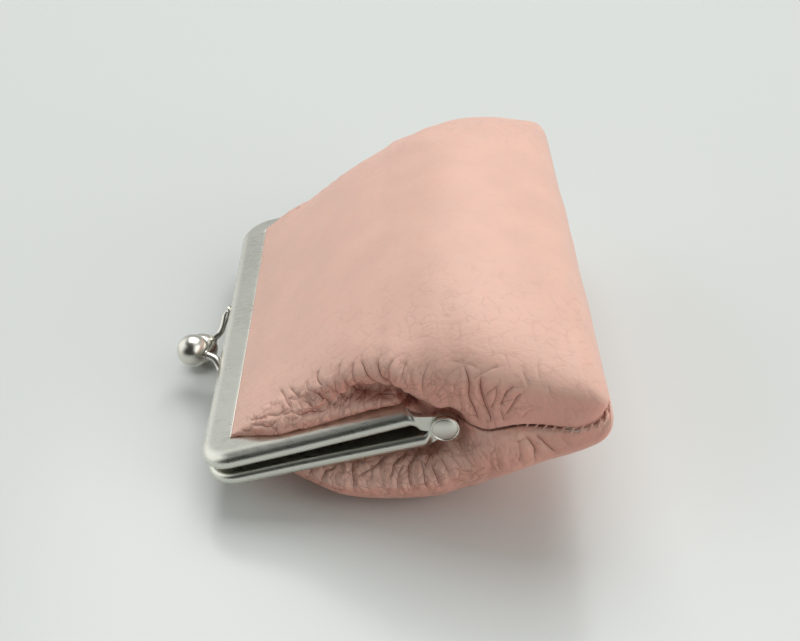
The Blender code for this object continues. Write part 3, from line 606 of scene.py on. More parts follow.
def mixed(first, second, share):
    return tuple(a + (b - a) * share for a, b in zip(first, second))


def section(x, panel, edge_depth):
    """A panel's outer surface across the purse at x, as (half-width, height), edge first."""
    level = level_at(x, LEATHER_LEVEL)
    crown = crown_height(x, panel)
    half = HALF_OF[panel]
    end = ARM_END[half]
    if x < FOLD_X:
        edge = channel_corner(x, edge_depth)
        inner = min(LIP_Y, edge - FOLD)
        start = min(LIP_Y - FOLD, inner - FOLD)
        flat = [(start * (1 - k / 15), level) for k in range(1, 16)]
        return [(edge, level), (inner, level), (start, level), *flat]
    if x <= end:
        over = cuff_top(x, panel)
        edge = (channel_corner(x, edge_depth), level)
        start = (LIP_Y - 0.3 * FOLD, over)
        overhang = 0.85 * max(crown - over - 5 * MM, 0.0)
        flank = min(flank_half_width(x, panel), start[0] + overhang)
        return [edge, (LIP_Y, level), start, *bulge(start, flank, crown, x, panel)]
    if x < SEAM_START_X:
        neck = RIVET_X - end
        slip = through(((end + 0.14 * neck, 0.0), (end + 0.6 * neck, 1.0)), x)
        swing = through(((end, 0.0), (RIVET_X, 1.0)), x)
        free = max((x - RIVET_X - EAR_RADIUS) / (SEAM_START_X - RIVET_X - EAR_RADIUS), 0.0)
        in_arm = section(end, panel, edge_depth)
        at_seam = section(SEAM_START_X, panel, edge_depth)
        beside = (
            (HINGE_EDGE_Y, SEAM_GAP),
            (HINGE_EDGE_Y, EAR_RADIUS + 0.15 * MM),
            (HALF_WIDTH + 0.8 * FOLD, EAR_RADIUS + 3.2 * FOLD),
        )
        pinned = [mixed(in_arm[k], beside[k], (slip, slip, swing)[k]) for k in range(3)]
        edge, throat, start = [mixed(pinned[k], at_seam[k], free) for k in range(3)]
        return [edge, throat, start, *bulge(start, flank_half_width(x, panel), crown, x, panel)]
    closing = (1 - min((x - SEAM_START_X) / (POUCH_LENGTH - SEAM_START_X), 1.0) ** 8) ** 0.5
    width = seam_half_width(x)
    sewn = SEAM_GAP + SIDE[panel] * seam_level(x)
    out = flank_half_width(x, panel) - width
    rise = crown - sewn
    throat = (width + (0.35 * out + LEATHER) * closing - LEATHER, sewn + 0.04 * rise)
    throat = (max(throat[0], width - LEATHER), throat[1])
    start = (width + (0.75 * out + 2 * LEATHER) * closing - 2 * LEATHER, sewn + 0.12 * rise)
    flank = start[0] + (flank_half_width(x, panel) - start[0]) * closing
    return [(width, sewn), throat, start, *bulge(start, flank, crown, x, panel)]


def spread(points, counts):
    """Points along a line, a given number on each run between its named corners.

    The last run's points stand closer together at its start, where the folds are.
    """
    points = np.asarray(points, float)
    result = []
    for (first, last), count in counts:
        run = points[first:last + 1]
        at = distances(run)
        share = np.linspace(0, 1, count + 1)[:-1]
        if last == len(points) - 1:
            share = 0.45 * share + 0.55 * share**2.1
        result.append(smooth_line(run, at, share * at[-1]))
    return np.concatenate((*result, points[-1:]))


def row_places(panel, edge_depth, rows):
    """Places along the purse, evenly spaced by the length of the panel's middle line."""
    fine = np.concatenate((np.linspace(edge_depth, POUCH_LENGTH - 5.2 * MM, 600),
                           POUCH_LENGTH - 5.0 * MM * (1 - np.sin(np.linspace(0, math.pi / 2, 200)))))
    heights = np.array([crown_height(x, panel) for x in fine])
    steps = np.hypot(np.diff(fine), 0.8 * np.diff(heights))
    at = np.concatenate(([0.0], np.cumsum(steps)))
    return np.interp(np.linspace(0, at[-1], rows), at, fine)


def panel_grid(panel, edge_depth, rows, columns):
    """A panel's outer surface, rows along the purse and columns across it, and the rows' places."""
    rest = columns // 2 - EDGE_COLUMNS - THROAT_COLUMNS
    cuts = (((0, 1), EDGE_COLUMNS), ((1, 2), THROAT_COLUMNS), ((2, 17), rest))
    grid = np.empty((rows, columns, 3))
    places = row_places(panel, edge_depth, rows)
    for r, x in enumerate(places):
        for c, (w, h) in enumerate(spread(section(x, panel, edge_depth), cuts)):
            grid[r, c] = (skewed(x, -w), -w, SIDE[panel] * h)
            grid[r, columns - 1 - c] = (skewed(x, w), w, SIDE[panel] * h)
    tuck_seam(grid, panel)
    return grid, places


def steps_in(grid):
    """How many columns from the nearer side, and rows from the bottom, each point of a grid is."""
    rows, columns = grid.shape[:2]
    column = np.minimum(np.arange(columns), np.arange(columns)[::-1])
    return np.meshgrid(column, np.arange(rows)[::-1])


def tuck_seam(grid, panel):
    """Draw the sewn edges in, so that the two panels meet in a groove."""
    column, row = steps_in(grid)
    x = grid[..., 0]
    height = SIDE[panel] * (grid[..., 2] - seam_levels(x))
    deep = np.exp(-(np.maximum(height, 0) / (1.0 * MM)) ** 2)
    beside = deep * (1 - ease(column, 9, 16)) * ease(x, SEAM_START_X - 1 * MM, SEAM_START_X + 5 * MM)
    below = deep * (1 - ease(row, 14, 22))
    grid[..., 1] -= np.sign(grid[..., 1]) * SEAM_TUCK * beside * (1 - 0.5 * below)
    grid[..., 0] -= SEAM_TUCK * below


def grid_normals(grid, panel):
    """Outward normals of a grid of points."""
    along = np.gradient(grid, axis=0)
    across = np.gradient(grid, axis=1)
    normals = np.cross(along, across) * SIDE[panel]
    size = np.linalg.norm(normals, axis=2, keepdims=True)
    return normals / np.maximum(size, 1e-12)


def relax(grid, held, rounds):
    """Even out a grid, where held is 0, by drawing each point towards its neighbours."""
    free = (1 - held)[..., None]
    for _ in range(rounds):
        middle = grid.copy()
        middle[1:-1, 1:-1] = (grid[:-2, 1:-1] + grid[2:, 1:-1] + grid[1:-1, :-2] + grid[1:-1, 2:]) / 4
        grid = grid + 0.5 * free * (middle - grid)
    return grid


def arc_coordinates(grid):
    """Distance along and across a grid, for its material."""
    down = np.linalg.norm(np.diff(grid, axis=0), axis=2)
    side = np.linalg.norm(np.diff(grid, axis=1), axis=2)
    middle = grid.shape[1] // 2
    u = np.concatenate((np.zeros((1, grid.shape[1])), np.cumsum(down, axis=0)))
    v = np.concatenate((np.zeros((grid.shape[0], 1)), np.cumsum(side, axis=1)), axis=1)
    u = np.repeat(u[:, middle:middle + 1], grid.shape[1], axis=1)
    return u, v - v[:, middle:middle + 1]


# Folds of the leather as the camera sees them, in pixels of the 800 x 641 view, each with its
# strength from 0 to 1. The far side gets their likes.
FRONT_FOLDS = (
    (1.00, ((326, 386), (331, 390), (335, 392.5), (340, 395), (345, 396.5), (352, 397), (360, 397),
            (368, 396.5), (376, 397), (384, 396.5), (392, 396), (398, 394.5), (405, 393), (410, 391.5))),
    (1.00, ((348, 385), (351, 388), (355, 389.5), (362, 389.5), (370, 389.5), (377, 390), (384, 389),
            (392, 388.5), (398, 388.5), (404, 389.5), (410, 391.5))),
    (0.90, ((309, 391.5), (314, 393.5), (318, 396.5), (321, 399), (325, 401.5), (331, 403.5), (337, 404.5),
            (343, 405.5), (348, 405), (350, 402), (353, 398.5), (355, 397))),
    (0.80, ((292, 412), (296, 414), (301, 415.5), (306, 414), (312, 412), (318, 411), (323, 411),
            (327, 408.5), (331, 405))),
    (0.70, ((251, 425), (256, 425.5), (262, 425.5), (266, 427), (270, 426.5), (273, 424), (276, 421.5),
            (277, 419))),
    (0.50, ((241, 430), (245, 431), (249, 431), (251, 428), (253, 426.5))),
    (0.50, ((249, 418.5), (253, 420), (258, 419), (262, 418.5), (265, 416.5), (267, 413.5), (268, 411))),
    (0.50, ((266, 415), (272, 415.5), (278, 415.5), (281, 414), (282, 409))),
    (0.50, ((281, 415.5), (287, 413.5), (291, 411.5), (293, 410))),
    (0.60, ((279, 388), (281, 391.5), (284, 396), (286, 401), (289, 406), (292.5, 410))),
    (0.60, ((289, 387), (292, 390.5), (296, 395), (299, 399), (301, 401))),
    (0.60, ((301, 401), (306, 402.5), (310, 406), (314, 409))),
    (0.35, ((286, 399), (292, 399), (298, 400.5))),
    (0.30, ((269, 401), (273, 405), (277, 402))),
    (0.40, ((285, 417), (289, 419.5), (292, 420.5), (297, 418), (300, 416))),
    (0.50, ((280, 427.5), (286, 427.5), (292, 426.5), (298, 426.5), (303, 425.5), (306, 423))),
    (0.30, ((286, 423.5), (290, 421.5), (293, 420.5))),
    (0.35, ((310, 423), (314, 420.5), (317, 417))),
    (0.35, ((316, 420), (324, 419), (331, 417.5))),
    (0.45, ((307, 380), (306, 386), (307, 390), (310, 391.5))),
    (0.70, ((320, 368), (317, 373), (316.5, 378), (318, 382), (321, 385), (325, 386.5))),
    (0.35, ((301, 401), (304, 398), (308, 395), (309, 392))),
    (0.40, ((321, 397), (325, 394.5), (330, 391.5))),
    (0.35, ((320.5, 386), (321, 391), (320.5, 396))),
    (0.40, ((253, 431), (256, 433.5), (259, 434.5), (262, 432))),
    (0.40, ((274, 433), (276, 430), (278, 427.5))),
    (0.80, ((361, 356), (361, 361), (363, 366), (365, 372), (368, 377), (372, 381), (377, 383),
            (381, 386), (385, 388.5))),
    (0.80, ((381, 356), (378, 362), (378, 368), (380, 374), (383, 378.5), (388, 381), (392, 385),
            (397, 388))),
    (0.45, ((395, 358), (391, 364), (389, 370), (389.5, 375), (390, 381))),
    (0.50, ((408, 360), (404, 368), (402, 375), (400, 383))),
    (0.60, ((357, 358), (353, 365), (352, 371), (352.5, 376), (354, 381), (357, 385), (360, 388.5))),
    (0.50, ((358, 380), (362, 384), (366, 388.5))),
    (0.55, ((343, 379), (345, 383), (347, 387), (349, 391))),
    (0.50, ((342, 362), (339, 368), (338.5, 374), (338, 380))),
    (0.45, ((333, 380), (334.5, 384), (335, 388), (335.5, 392))),
    (0.25, ((331, 364), (329, 371))),
    (0.40, ((349, 391), (346, 393.5), (343, 396))),
    (0.50, ((373, 390), (371, 394), (369, 397))),
    (0.40, ((364, 390), (360, 393), (357, 397))),
    (0.60, ((348, 406), (353, 406.5), (358, 406.5), (361, 403), (364, 400), (368, 397.5))),
    (0.60, ((361, 404), (364, 407.5), (370, 407.5), (374, 404), (377, 400), (380, 397.5))),
    (0.60, ((376, 406), (381, 406), (385, 403), (388, 400), (391, 397))),
    (0.45, ((323, 411), (328, 409), (332, 405))),
    (0.35, ((333, 415), (338, 414), (344, 412.5))),
    (0.35, ((415, 366), (411, 372), (410.5, 379), (412, 388))),
    (0.50, ((430, 363), (426, 370), (423, 377), (422, 385), (424, 395))),
    (0.30, ((425, 387), (430, 382), (437, 379), (444, 377.5))),
    (0.35, ((436, 402), (437, 394), (440, 389), (444, 384), (446, 378), (450, 373), (455, 370),
            (460, 369))),
    (0.25, ((448, 398), (448, 408))),
    (0.35, ((459, 388), (459.5, 398), (461, 407), (464, 414))),
    (0.85, ((463, 361), (464, 366), (466, 372), (468, 380), (468.5, 388), (468, 395), (470, 402),
            (473, 408), (476, 415), (478, 423))),
    (0.90, ((481, 372), (480, 381), (479.5, 388), (481, 395), (483, 402), (485, 408), (488, 414),
            (490, 420), (492, 427))),
    (0.55, ((499, 382), (496, 388), (496, 395), (494, 402), (491, 408), (488, 413))),
    (0.45, ((488, 416), (487, 421), (486, 426))),
    (0.35, ((470, 383), (473, 379), (478, 376), (485, 372), (494, 368), (502, 366))),
    (0.30, ((470, 393), (475, 390), (479, 390))),
    (0.50, ((484, 398), (488, 393), (493, 389.5), (498, 384))),
    (0.25, ((450, 362), (458, 362.5), (464, 364.5), (470, 364.5), (475, 367), (480, 373))),
    (0.40, ((476, 411), (480, 406), (484, 402.5))),
    (0.70, ((516, 385), (510, 389), (506, 393), (503, 399), (501, 405), (500, 410))),
    (0.60, ((500, 410), (502, 417), (504, 422), (508, 428))),
    (0.70, ((524, 392), (519, 396), (516, 399.5), (513, 404), (510, 409), (507, 413), (505, 418))),
    (0.30, ((500, 391), (506, 390), (511, 389), (518, 387.5), (526, 389))),
    (0.40, ((494, 406), (502, 403.5), (508, 401.5), (516, 399.5))),
    (0.28, ((522, 420), (525, 414), (530, 410.5), (536, 409))),
    (0.22, ((517, 407.5), (525, 407), (533, 406))),
    (0.22, ((522, 366), (524, 376), (527, 383), (528, 390))),
    (0.22, ((538, 360), (538, 370), (540, 381))),
    (0.20, ((548, 384), (550, 394), (556, 402))),
)
BACK_FOLDS = (
    (0.50, ((312, 468), (309, 473), (307, 480))),
    (0.60, ((335, 464), (331, 469), (326, 470), (323, 475), (321, 482))),
    (0.70, ((354, 460), (352, 465), (352, 472), (353, 480), (354, 491))),
    (0.70, ((385, 455), (378, 462), (371, 468), (364, 472), (357, 475))),
    (0.50, ((372, 462), (371, 468), (371, 474), (370, 480))),
    (0.35, ((366, 474), (366, 480), (368, 486))),
    (0.75, ((402, 453), (397, 459), (393, 464), (392, 471), (389, 477))),
    (0.85, ((414, 452), (411, 460), (408, 465), (408, 472), (409, 481), (412, 490))),
    (0.60, ((406, 463), (401, 468), (398, 475), (397, 483), (398, 491))),
    (0.30, ((382, 474), (383, 482), (382, 489))),
    (0.30, ((336, 470), (335, 478), (337, 487))),
    (0.75, ((419, 458), (421, 463), (423, 470), (424, 477), (425, 484), (428, 489))),
    (0.70, ((430, 450), (427, 460), (425, 466), (424, 471))),
    (0.65, ((430, 463), (434, 472), (437, 479), (439, 486))),
    (0.50, ((438, 456), (435, 462), (434, 468))),
    (0.65, ((440, 456), (444, 464), (447, 470), (449, 475))),
    (0.45, ((451, 448), (453, 458), (457, 463), (461, 471))),
    (0.45, ((464, 447), (466, 457), (470, 463), (475, 469))),
    (0.30, ((480, 448), (485, 457), (490, 463), (495, 470))),
    (0.30, ((481, 432), (482, 439))),
    (0.50, ((498, 430), (496, 436), (496, 442))),
    (0.80, ((522, 428), (525, 436), (530, 443), (534, 449), (534, 458))),
    (0.80, ((533, 427), (536, 434), (538, 438), (542, 442), (548, 448), (557, 454))),
    (0.40, ((538, 439), (536, 444), (534, 449))),
    (0.35, ((518, 438), (519, 449), (520, 455), (517, 463))),
    (0.30, ((543, 428), (542, 437))),
    (0.30, ((470, 428), (472, 438))),
    (0.30, ((560, 432), (563, 440), (570, 447))),
)

# Broad, shallow dips of the leather, in the same way. They are sunk into the mesh, and the material paints
# shade in them.
FRONT_VALLEYS = (
    (0.25, ((300, 404), (325, 398), (345, 392))),
    (0.8, ((345, 388), (362, 390), (380, 391), (395, 391))),
    (1.0, ((395, 391), (405, 395), (414, 401), (420, 407))),
)
BACK_VALLEYS = (
    (0.5, ((395, 452), (410, 449), (430, 446), (445, 443))),
)

# Rules for turning traced lines into folds
FOLDS = {"front": FRONT_FOLDS, "back": BACK_FOLDS}
VALLEYS = {"front": FRONT_VALLEYS, "back": BACK_VALLEYS}
LONGEST_FOLD = 60 * MM
LONGEST_STEP = 9 * MM
DEEP_FOLD = 0.75
FAR_SIDE_SHIFT = (0.7 * MM, 0, 0)
FAR_SIDE_SHARE = 0.6


def seen_point(tree, pixel):
    """Where the camera's ray through a pixel first meets a surface, in the purse's own frame."""
    across = (pixel[0] - VIEW_WIDTH / 2) / VIEW_FOCAL
    down = (pixel[1] - VIEW_HEIGHT / 2) / VIEW_FOCAL
    forward = np.array((across, math.cos(VIEW_PITCH), -math.sin(VIEW_PITCH)))
    up = np.array((0.0, math.sin(VIEW_PITCH), math.cos(VIEW_PITCH)))
    hit = tree.ray_cast(Vector(VIEW_PLACE), Vector(forward - down * up))
    return None if hit[0] is None else in_purse(np.array(hit[0]))


def fold_marks(grid, folds):
    """Dense points along the seen folds and their likes on the far side: place, heading, strength."""
    rows, columns = grid.shape[:2]
    quads = [(k, k + 1, k + columns + 1, k + columns)
             for r in range(rows - 1) for k in range(r * columns, (r + 1) * columns - 1)]
    tree = BVHTree.FromPolygons([Vector(p) for p in lie(grid.reshape(-1, 3))], quads)
    marks = []
    for strength, line in folds:
        found = [p for p in (seen_point(tree, pixel) for pixel in line) if p is not None]
        if len(found) < 2:
            continue
        found = np.array(found)
        at = distances(found)
        if at[-1] > LONGEST_FOLD or np.diff(at).max() > LONGEST_STEP:
            continue
        fine = np.linspace(0, at[-1], max(int(at[-1] / (0.12 * MM)), 4))
        dense = smooth_line(found, at, fine)
        share = np.linspace(0, 1, len(dense))
        fade = np.maximum(ease(share, 0, 0.2) * (1 - ease(share, 0.8, 1.0)), 0.3)
        for p, t, power in zip(dense, unit(np.gradient(dense, axis=0)), strength * fade):
            marks.append((p, t, power))
            marks.append((p * (1, -1, 1) + FAR_SIDE_SHIFT, t * (1, -1, 1), FAR_SIDE_SHARE * power))
    return marks


def fold_relief(grid, normals, folds):
    """Distance from the nearest fold, the side that a point lies on, and the fold's strength.

    Deep folds win over the shallow ones that run into them.
    """
    shape = grid.shape[:2]
    count = shape[0] * shape[1]
    away, side, strength, best = np.full(count, 9.0), np.full(count, 1.2), np.zeros(count), np.zeros(count)
    for deep in (False, True):
        marks = fold_marks(grid, [fold for fold in folds if (fold[0] >= DEEP_FOLD) == deep])
        if not marks:
            continue
        finder = kdtree.KDTree(len(marks))
        for k, (p, _, _) in enumerate(marks):
            finder.insert(Vector(p), k)
        finder.balance()
        for i, (p, n) in enumerate(zip(grid.reshape(-1, 3), normals.reshape(-1, 3))):
            place, k, gap = finder.find(Vector(p))
            gap /= MM
            if gap > 4:
                continue
            _, heading, power = marks[k]
            hold = power * math.exp(-(gap / 0.9) ** 2)
            if hold >= best[i] or strength[i] == 0.0:
                best[i], away[i], strength[i] = hold, gap, power
                turn = np.dot(np.cross(heading, n), p - np.array(place))
                side[i] = math.copysign(min(gap, 1.2), turn)
    return away.reshape(shape), side.reshape(shape), strength.reshape(shape)


def pebble_relief(grid, cell, seed):
    """Puffed cells with creased borders: 0 on a border, 1 in the middle of a cell."""
    shift = Vector((seed, 2.3 * seed, -seed))
    relief = []
    for v in map(Vector, grid.reshape(-1, 3) / cell):
        bent = v * 0.9 + shift
        v += 0.35 * Vector([noise.noise(bent + Vector((0.0, 0.0, apart))) for apart in (0.0, 9.2, 17.6)])
        gaps = noise.voronoi(v + shift)[0]
        relief.append(gaps[1] - gaps[0])
    return np.clip(np.array(relief) / 0.55, 0, 1).reshape(grid.shape[:2])


def soft_waves(grid, size, seed):
    """Smooth noise over a grid, in waves of about the given size."""
    shift = Vector((seed, -seed, 0.7 * seed))
    heights = [noise.noise(Vector(p) + shift) for p in grid.reshape(-1, 3) / size]
    return np.array(heights).reshape(grid.shape[:2])


def distance_from_arm(grid, panel):
    """How far each point lies from the frame's lip, up or down the panel's side, in millimetres."""
    above = SIDE[panel] * grid[..., 2] - level_at(grid[..., 0], CHANNEL_HEIGHT)
    beyond = np.abs(grid[..., 1]) - LIP_Y
    return np.hypot(np.maximum(-beyond, 0) + np.maximum(beyond, 0) * 0.6, above) / MM


def roll_over_arm(grid, panel, x, level):
    """Puff the leather out over the lip of the frame's arm."""
    end = ARM_END[HALF_OF[panel]]
    if panel == "front":
        puff = 3.0 * ease(x, 5 * MM, 17 * MM) + 0.2 * ease(x, 32 * MM, end)
    else:
        puff = 0.5 * ease(x, 10 * MM, 20 * MM)
    puff *= bpy.context.scene.wallet_shape.roll_over_frame * (1 - ease(x, end - 1 * MM, end + 1.5 * MM))
    above = (level - level_at(x, CHANNEL_HEIGHT)) / MM
    over = ease(above, 0.02, 0.2) * (1 - ease(above, 1.4, 5.5)) * ((x > FOLD_X) & (x < end + 2 * MM))
    close = 1 - ease(np.abs(np.abs(grid[..., 1]) - LIP_Y) / MM, 1.5, 4.5)
    grid[..., 1] += np.sign(grid[..., 1]) * puff * MM * over * close


def clear_rivet(grid):
    """Keep the leather inside the rivets' heads."""
    gap = np.hypot(grid[..., 0] - RIVET_X, grid[..., 2]) / MM
    limit = RIVET_INSIDE + 3.0 * MM * ease(gap, 2.7, 5.4)
    beside = (gap < 5.4) & (grid[..., 0] > RIVET_X - 2 * MM)
    grid[..., 1] = np.where(beside, np.clip(grid[..., 1], -limit, limit), grid[..., 1])


def clear_table(grid):
    """Lay the belly on the table."""
    laid = lie(grid)
    laid[..., 2] = np.maximum(laid[..., 2], TABLE_CLEARANCE)
    return in_purse(laid)


def dress_grid(grid, panel):
    """The panel as the leather really lies, and the masks of its creases, gathers and pebbles."""
    shape = bpy.context.scene.wallet_shape
    front = panel == "front"
    x, level = grid[..., 0], SIDE[panel] * grid[..., 2]
    column, row = steps_in(grid)
    in_bar = 1 - ease(x, FOLD_X, FOLD_X + 2.5 * MM)
    sewn = ease(x, RIVET_X, SEAM_START_X) * (1 - ease(column, 0, 7))
    held = np.maximum.reduce((1 - ease(column, 4, 14), in_bar, sewn, 1 - ease(row, 0, 7)))
    free = 1 - held
    grid = relax(grid, held, LEATHER_RELAX)
    roll_over_arm(grid, panel, x, level)

    normals = grid_normals(grid, panel)
    away = distance_from_arm(grid, panel)
    reach = 2.8 + 0.2 * np.clip(x / MM - 10, 0, 30)
    gather = (1 - ease(away, reach * 0.6, reach * 1.5)) * ease(x, 7 * MM, 16 * MM)
    gather *= (1 - 0.6 * ease(x, 39 * MM, 46 * MM)) * (1 - ease(x, RIVET_X + 2 * MM, RIVET_X + 14 * MM))
    cells = pebble_relief(grid * (1.0, 1.0, 1.25), shape.pebble_size, 3.1 if front else 8.7)
    fine = pebble_relief(grid, 0.55 * shape.pebble_size, 5.3)
    gap, side, power = fold_relief(grid, normals, FOLDS[panel])
    sink = (0.3 + 0.28 * ease(power, 0.7, 1.0)) * power * np.exp(-(gap / (0.3 + 0.3 * power)) ** 2)
    # The valley mask sinks the mesh and also paints shade into the leather colour in the dips.
    valley_gap, _, valley_power = fold_relief(grid, normals, VALLEYS[panel])
    valley = valley_power * np.exp(-(valley_gap / 1.9) ** 2)
    puffed = np.clip(gather + 0.25, 0, 1) * (1 - np.exp(-(gap / 1.3) ** 2)) * (gap < 4)
    puffed *= ease(power, 0.02, 0.3) * 0.3 * (1 - ease(gap, 2.4, 4.0))

    # fold_near marks where the material paints crease shade; the seam's groove gets it too, as painted shade
    # along the sewn line.
    near_fold = power * np.exp(-(gap / 0.5) ** 2)
    seam_height = np.abs(grid[..., 2] - seam_levels(x)) / MM
    by_seam = (column < 12) * ease(x, SEAM_START_X - 6 * MM, SEAM_START_X - 2 * MM)
    by_seam = np.maximum(by_seam, row < 16) * np.exp(-(seam_height / 0.42) ** 2)
    sewn_line = by_seam > near_fold
    side = np.where(sewn_line, np.minimum(seam_height, 1.2), side)
    near_fold = np.where(sewn_line, by_seam, near_fold * free)

    waves = soft_waves(grid, 17 * MM, 4.0) * 0.32 + soft_waves(grid, 7 * MM, 9.0) * 0.09
    lift = waves * (0.35 + 0.65 * ease(away, 2, 12)) + puffed
    lift += shape.pebble_depth / MM * gather * ((cells - 0.6) + 0.35 * (fine - 0.6))
    offset = free * (lift - shape.fold_depth * (sink + 1.3 * valley)) * MM
    if not front:
        offset = np.where(lie(grid)[..., 2] < 1.2 * MM, np.minimum(offset, 0.25 * offset), offset)
    grid = grid + normals * offset[..., None]
    clear_rivet(grid)
    if not front:
        grid = clear_table(grid)
    pebbly = np.clip(gather + 0.5 * ease(np.abs(grid[..., 1]), 15 * MM, 38 * MM), 0, 1)
    pleats = ease(x, 17 * MM, 30 * MM) * (1 - ease(x, 55 * MM, 64 * MM)) * (1 - ease(level, 6 * MM, 14 * MM))
    masks = {"fold_side": side, "fold_near": near_fold, "pebble": pebbly, "pleats": pleats, "valley": valley}
    return grid, masks


def panel_faces(outer_rows, outer_columns):
    """Faces of a dense outer skin, an inner skin of every second point, and the edge between."""
    rows, columns = (outer_rows + 1) // 2, (outer_columns + 1) // 2

    def out(r, c):
        return r * outer_columns + c

    def inn(r, c):
        return outer_rows * outer_columns + r * columns + c

    faces = [(out(r, c), out(r + 1, c), out(r + 1, c + 1), out(r, c + 1))
             for r in range(outer_rows - 1) for c in range(outer_columns - 1)]
    faces += [(inn(r, c), inn(r, c + 1), inn(r + 1, c + 1), inn(r + 1, c))
              for r in range(rows - 1) for c in range(columns - 1)]
    last, low = outer_rows - 1, rows - 1
    for c in range(columns - 1):
        a = 2 * c
        faces.append((out(0, a), out(0, a + 1), out(0, a + 2), inn(0, c + 1), inn(0, c)))
        faces.append((out(last, a + 2), out(last, a + 1), out(last, a), inn(low, c), inn(low, c + 1)))
    last, low = outer_columns - 1, columns - 1
    for r in range(rows - 1):
        a = 2 * r
        faces.append((out(a + 2, 0), out(a + 1, 0), out(a, 0), inn(r, 0), inn(r + 1, 0)))
        faces.append((out(a, last), out(a + 1, last), out(a + 2, last), inn(r + 1, low), inn(r, low)))
    return faces


def skin_piece(name, panel, outer, middle, thickness, masks, material):
    """A closed skin: its outer face, and an inner face at a coarser spacing, with its masks."""
    inner = (middle - grid_normals(middle, panel) * thickness[..., None])[::2, ::2]
    points = np.concatenate((outer.reshape(-1, 3), inner.reshape(-1, 3)))
    faces = panel_faces(*outer.shape[:2])
    if panel == "back":
        faces = [f[::-1] for f in faces]
    piece = mesh_piece(name, points, faces, material)
    write_attributes(piece.data, outer, masks)
    return piece


def both_faces(values):
    """Values of the outer face's points, then of the inner face's."""
    return np.concatenate((values.reshape(-1), values[::2, ::2].reshape(-1)))


def write_attributes(mesh, outer, masks):
    """Store masks and surface coordinates, the inner face sharing its neighbour's."""
    for name, values in masks.items():
        layer = mesh.attributes.new(name, "FLOAT", "POINT")
        layer.data.foreach_set("value", both_faces(values).astype(np.float32))
    u, v = (both_faces(distance) for distance in arc_coordinates(outer))
    corners = np.zeros(len(mesh.loops), np.int64)
    mesh.loops.foreach_get("vertex_index", corners)
    layer = mesh.uv_layers.new(name="panel")
    layer.data.foreach_set("uv", np.stack((u[corners], v[corners]), -1).reshape(-1).astype(np.float32))


def bend_with_hinge(piece):
    """Bake a front piece's placement into its mesh."""
    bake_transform(piece)


def held_mask(grid, places, panel):
    """1 where the frame or a seam holds a panel, so that it is thinned there."""
    column, row = steps_in(grid)
    x = places[:, None]
    held = (column < 6) & (x < ARM_END[HALF_OF[panel]]) | (x < FOLD_X)
    held |= (column < 3) & (x > SEAM_START_X) | (row < 2)
    return held.astype(float)


def make_panel(panel, material):
    """A leather panel, skived where it is held."""
    grid, places = panel_grid(panel, LEATHER_EDGE_DEPTH, *LEATHER_GRID)
    outer, masks = dress_grid(grid, panel)
    held = held_mask(grid, places, panel)
    thickness = LEATHER + (SKIVED - LEATHER) * held
    middle = relax(grid, held, LEATHER_RELAX)
    piece = skin_piece("leather_panel_" + panel, panel, outer, middle, thickness, masks, material)
    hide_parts("leather_" + panel)
    return piece


def make_lining(panel, material):
    """The cloth lining, a little slack between its stitches."""
    grid, places = panel_grid(panel, LINING_EDGE_DEPTH, *LINING_GRID)
    held = held_mask(grid, places, panel)
    grid = relax(grid, held, LINING_RELAX)
    slack = np.abs(soft_waves(grid, 9 * MM, 2.0)) * 0.7 * MM
    sink = (LINING_SINK + slack) * (1 - held) + (SKIVED + 0.2 * MM) * held
    outer = grid - grid_normals(grid, panel) * sink[..., None]
    off_seam = SIDE[panel] * (outer[..., 2] - seam_levels(grid[..., 0]))
    outer[..., 2] += SIDE[panel] * np.maximum(0.45 * MM - off_seam, 0) * (grid[..., 0] > SEAM_START_X)
    wall = np.full(held.shape, LINING_WALL)
    piece = skin_piece("cloth_lining_" + panel, panel, outer, outer, wall, {}, material)
    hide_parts("lining_" + panel)
    return piece


# Threads and twine

def seam_path(inset, step):
    """The seam's line from the near hinge round the bottom to the far one, evenly spaced."""
    corner = POUCH_LENGTH - POUCH_CORNER
    near = [(x, inset - seam_half_width(x)) for x in np.linspace(SEAM_START_X + 3 * MM, corner, 40)]
    middle = POUCH_HALF_WIDTH - POUCH_CORNER
    radius = POUCH_CORNER - inset
    near += arc((corner, -middle), (radius, radius), -90, 0, 12)[1:]
    bottom = [(POUCH_LENGTH - inset, y) for y in np.linspace(-middle, middle, 60)[1:-1]]
    line = near + bottom + [(x, -y) for x, y in reversed(near)]
    line = np.array([(skewed(x, y), y, seam_level(x)) for x, y in line])
    at = distances(line)
    want = np.arange(0, at[-1], step)
    return np.stack([np.interp(want, at, line[:, k]) for k in range(3)], -1)


def make_stitches(name, node, inset, step, length, thickness, proud, material):
    """Slanted stitches across the seam, each a short bent thread."""
    line = seam_path(inset, step)
    up = np.array((0.0, 0.0, 1.0))
    across = np.linspace(-1, 1, 9)
    paths = []
    for k, (p, t) in enumerate(zip(line, unit(np.gradient(line, axis=0)))):
        out = unit(np.cross(t, up))
        lean = 0.85 + 0.036 * math.sin(7.3 * k)
        sunk = 0.9 * MM * float(1 - ease(p[0], SEAM_START_X + 6 * MM, SEAM_START_X + 11 * MM))
        lift = proud * (1 - np.abs(across) ** 3) - 0.5 * MM * np.maximum(np.abs(across) - 0.72, 0) - sunk
        paths.append(p + np.outer(across, (lean * t + up) * length / 2) + np.outer(lift, out))
    radii = thickness / 2 * np.array((0.75, 0.95, 1, 1, 1, 1, 1, 0.95, 0.75))
    points, faces = joined_tubes(paths, radii, 8)
    piece = solid_piece(name, points, faces, material)
    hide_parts(node)
    return piece


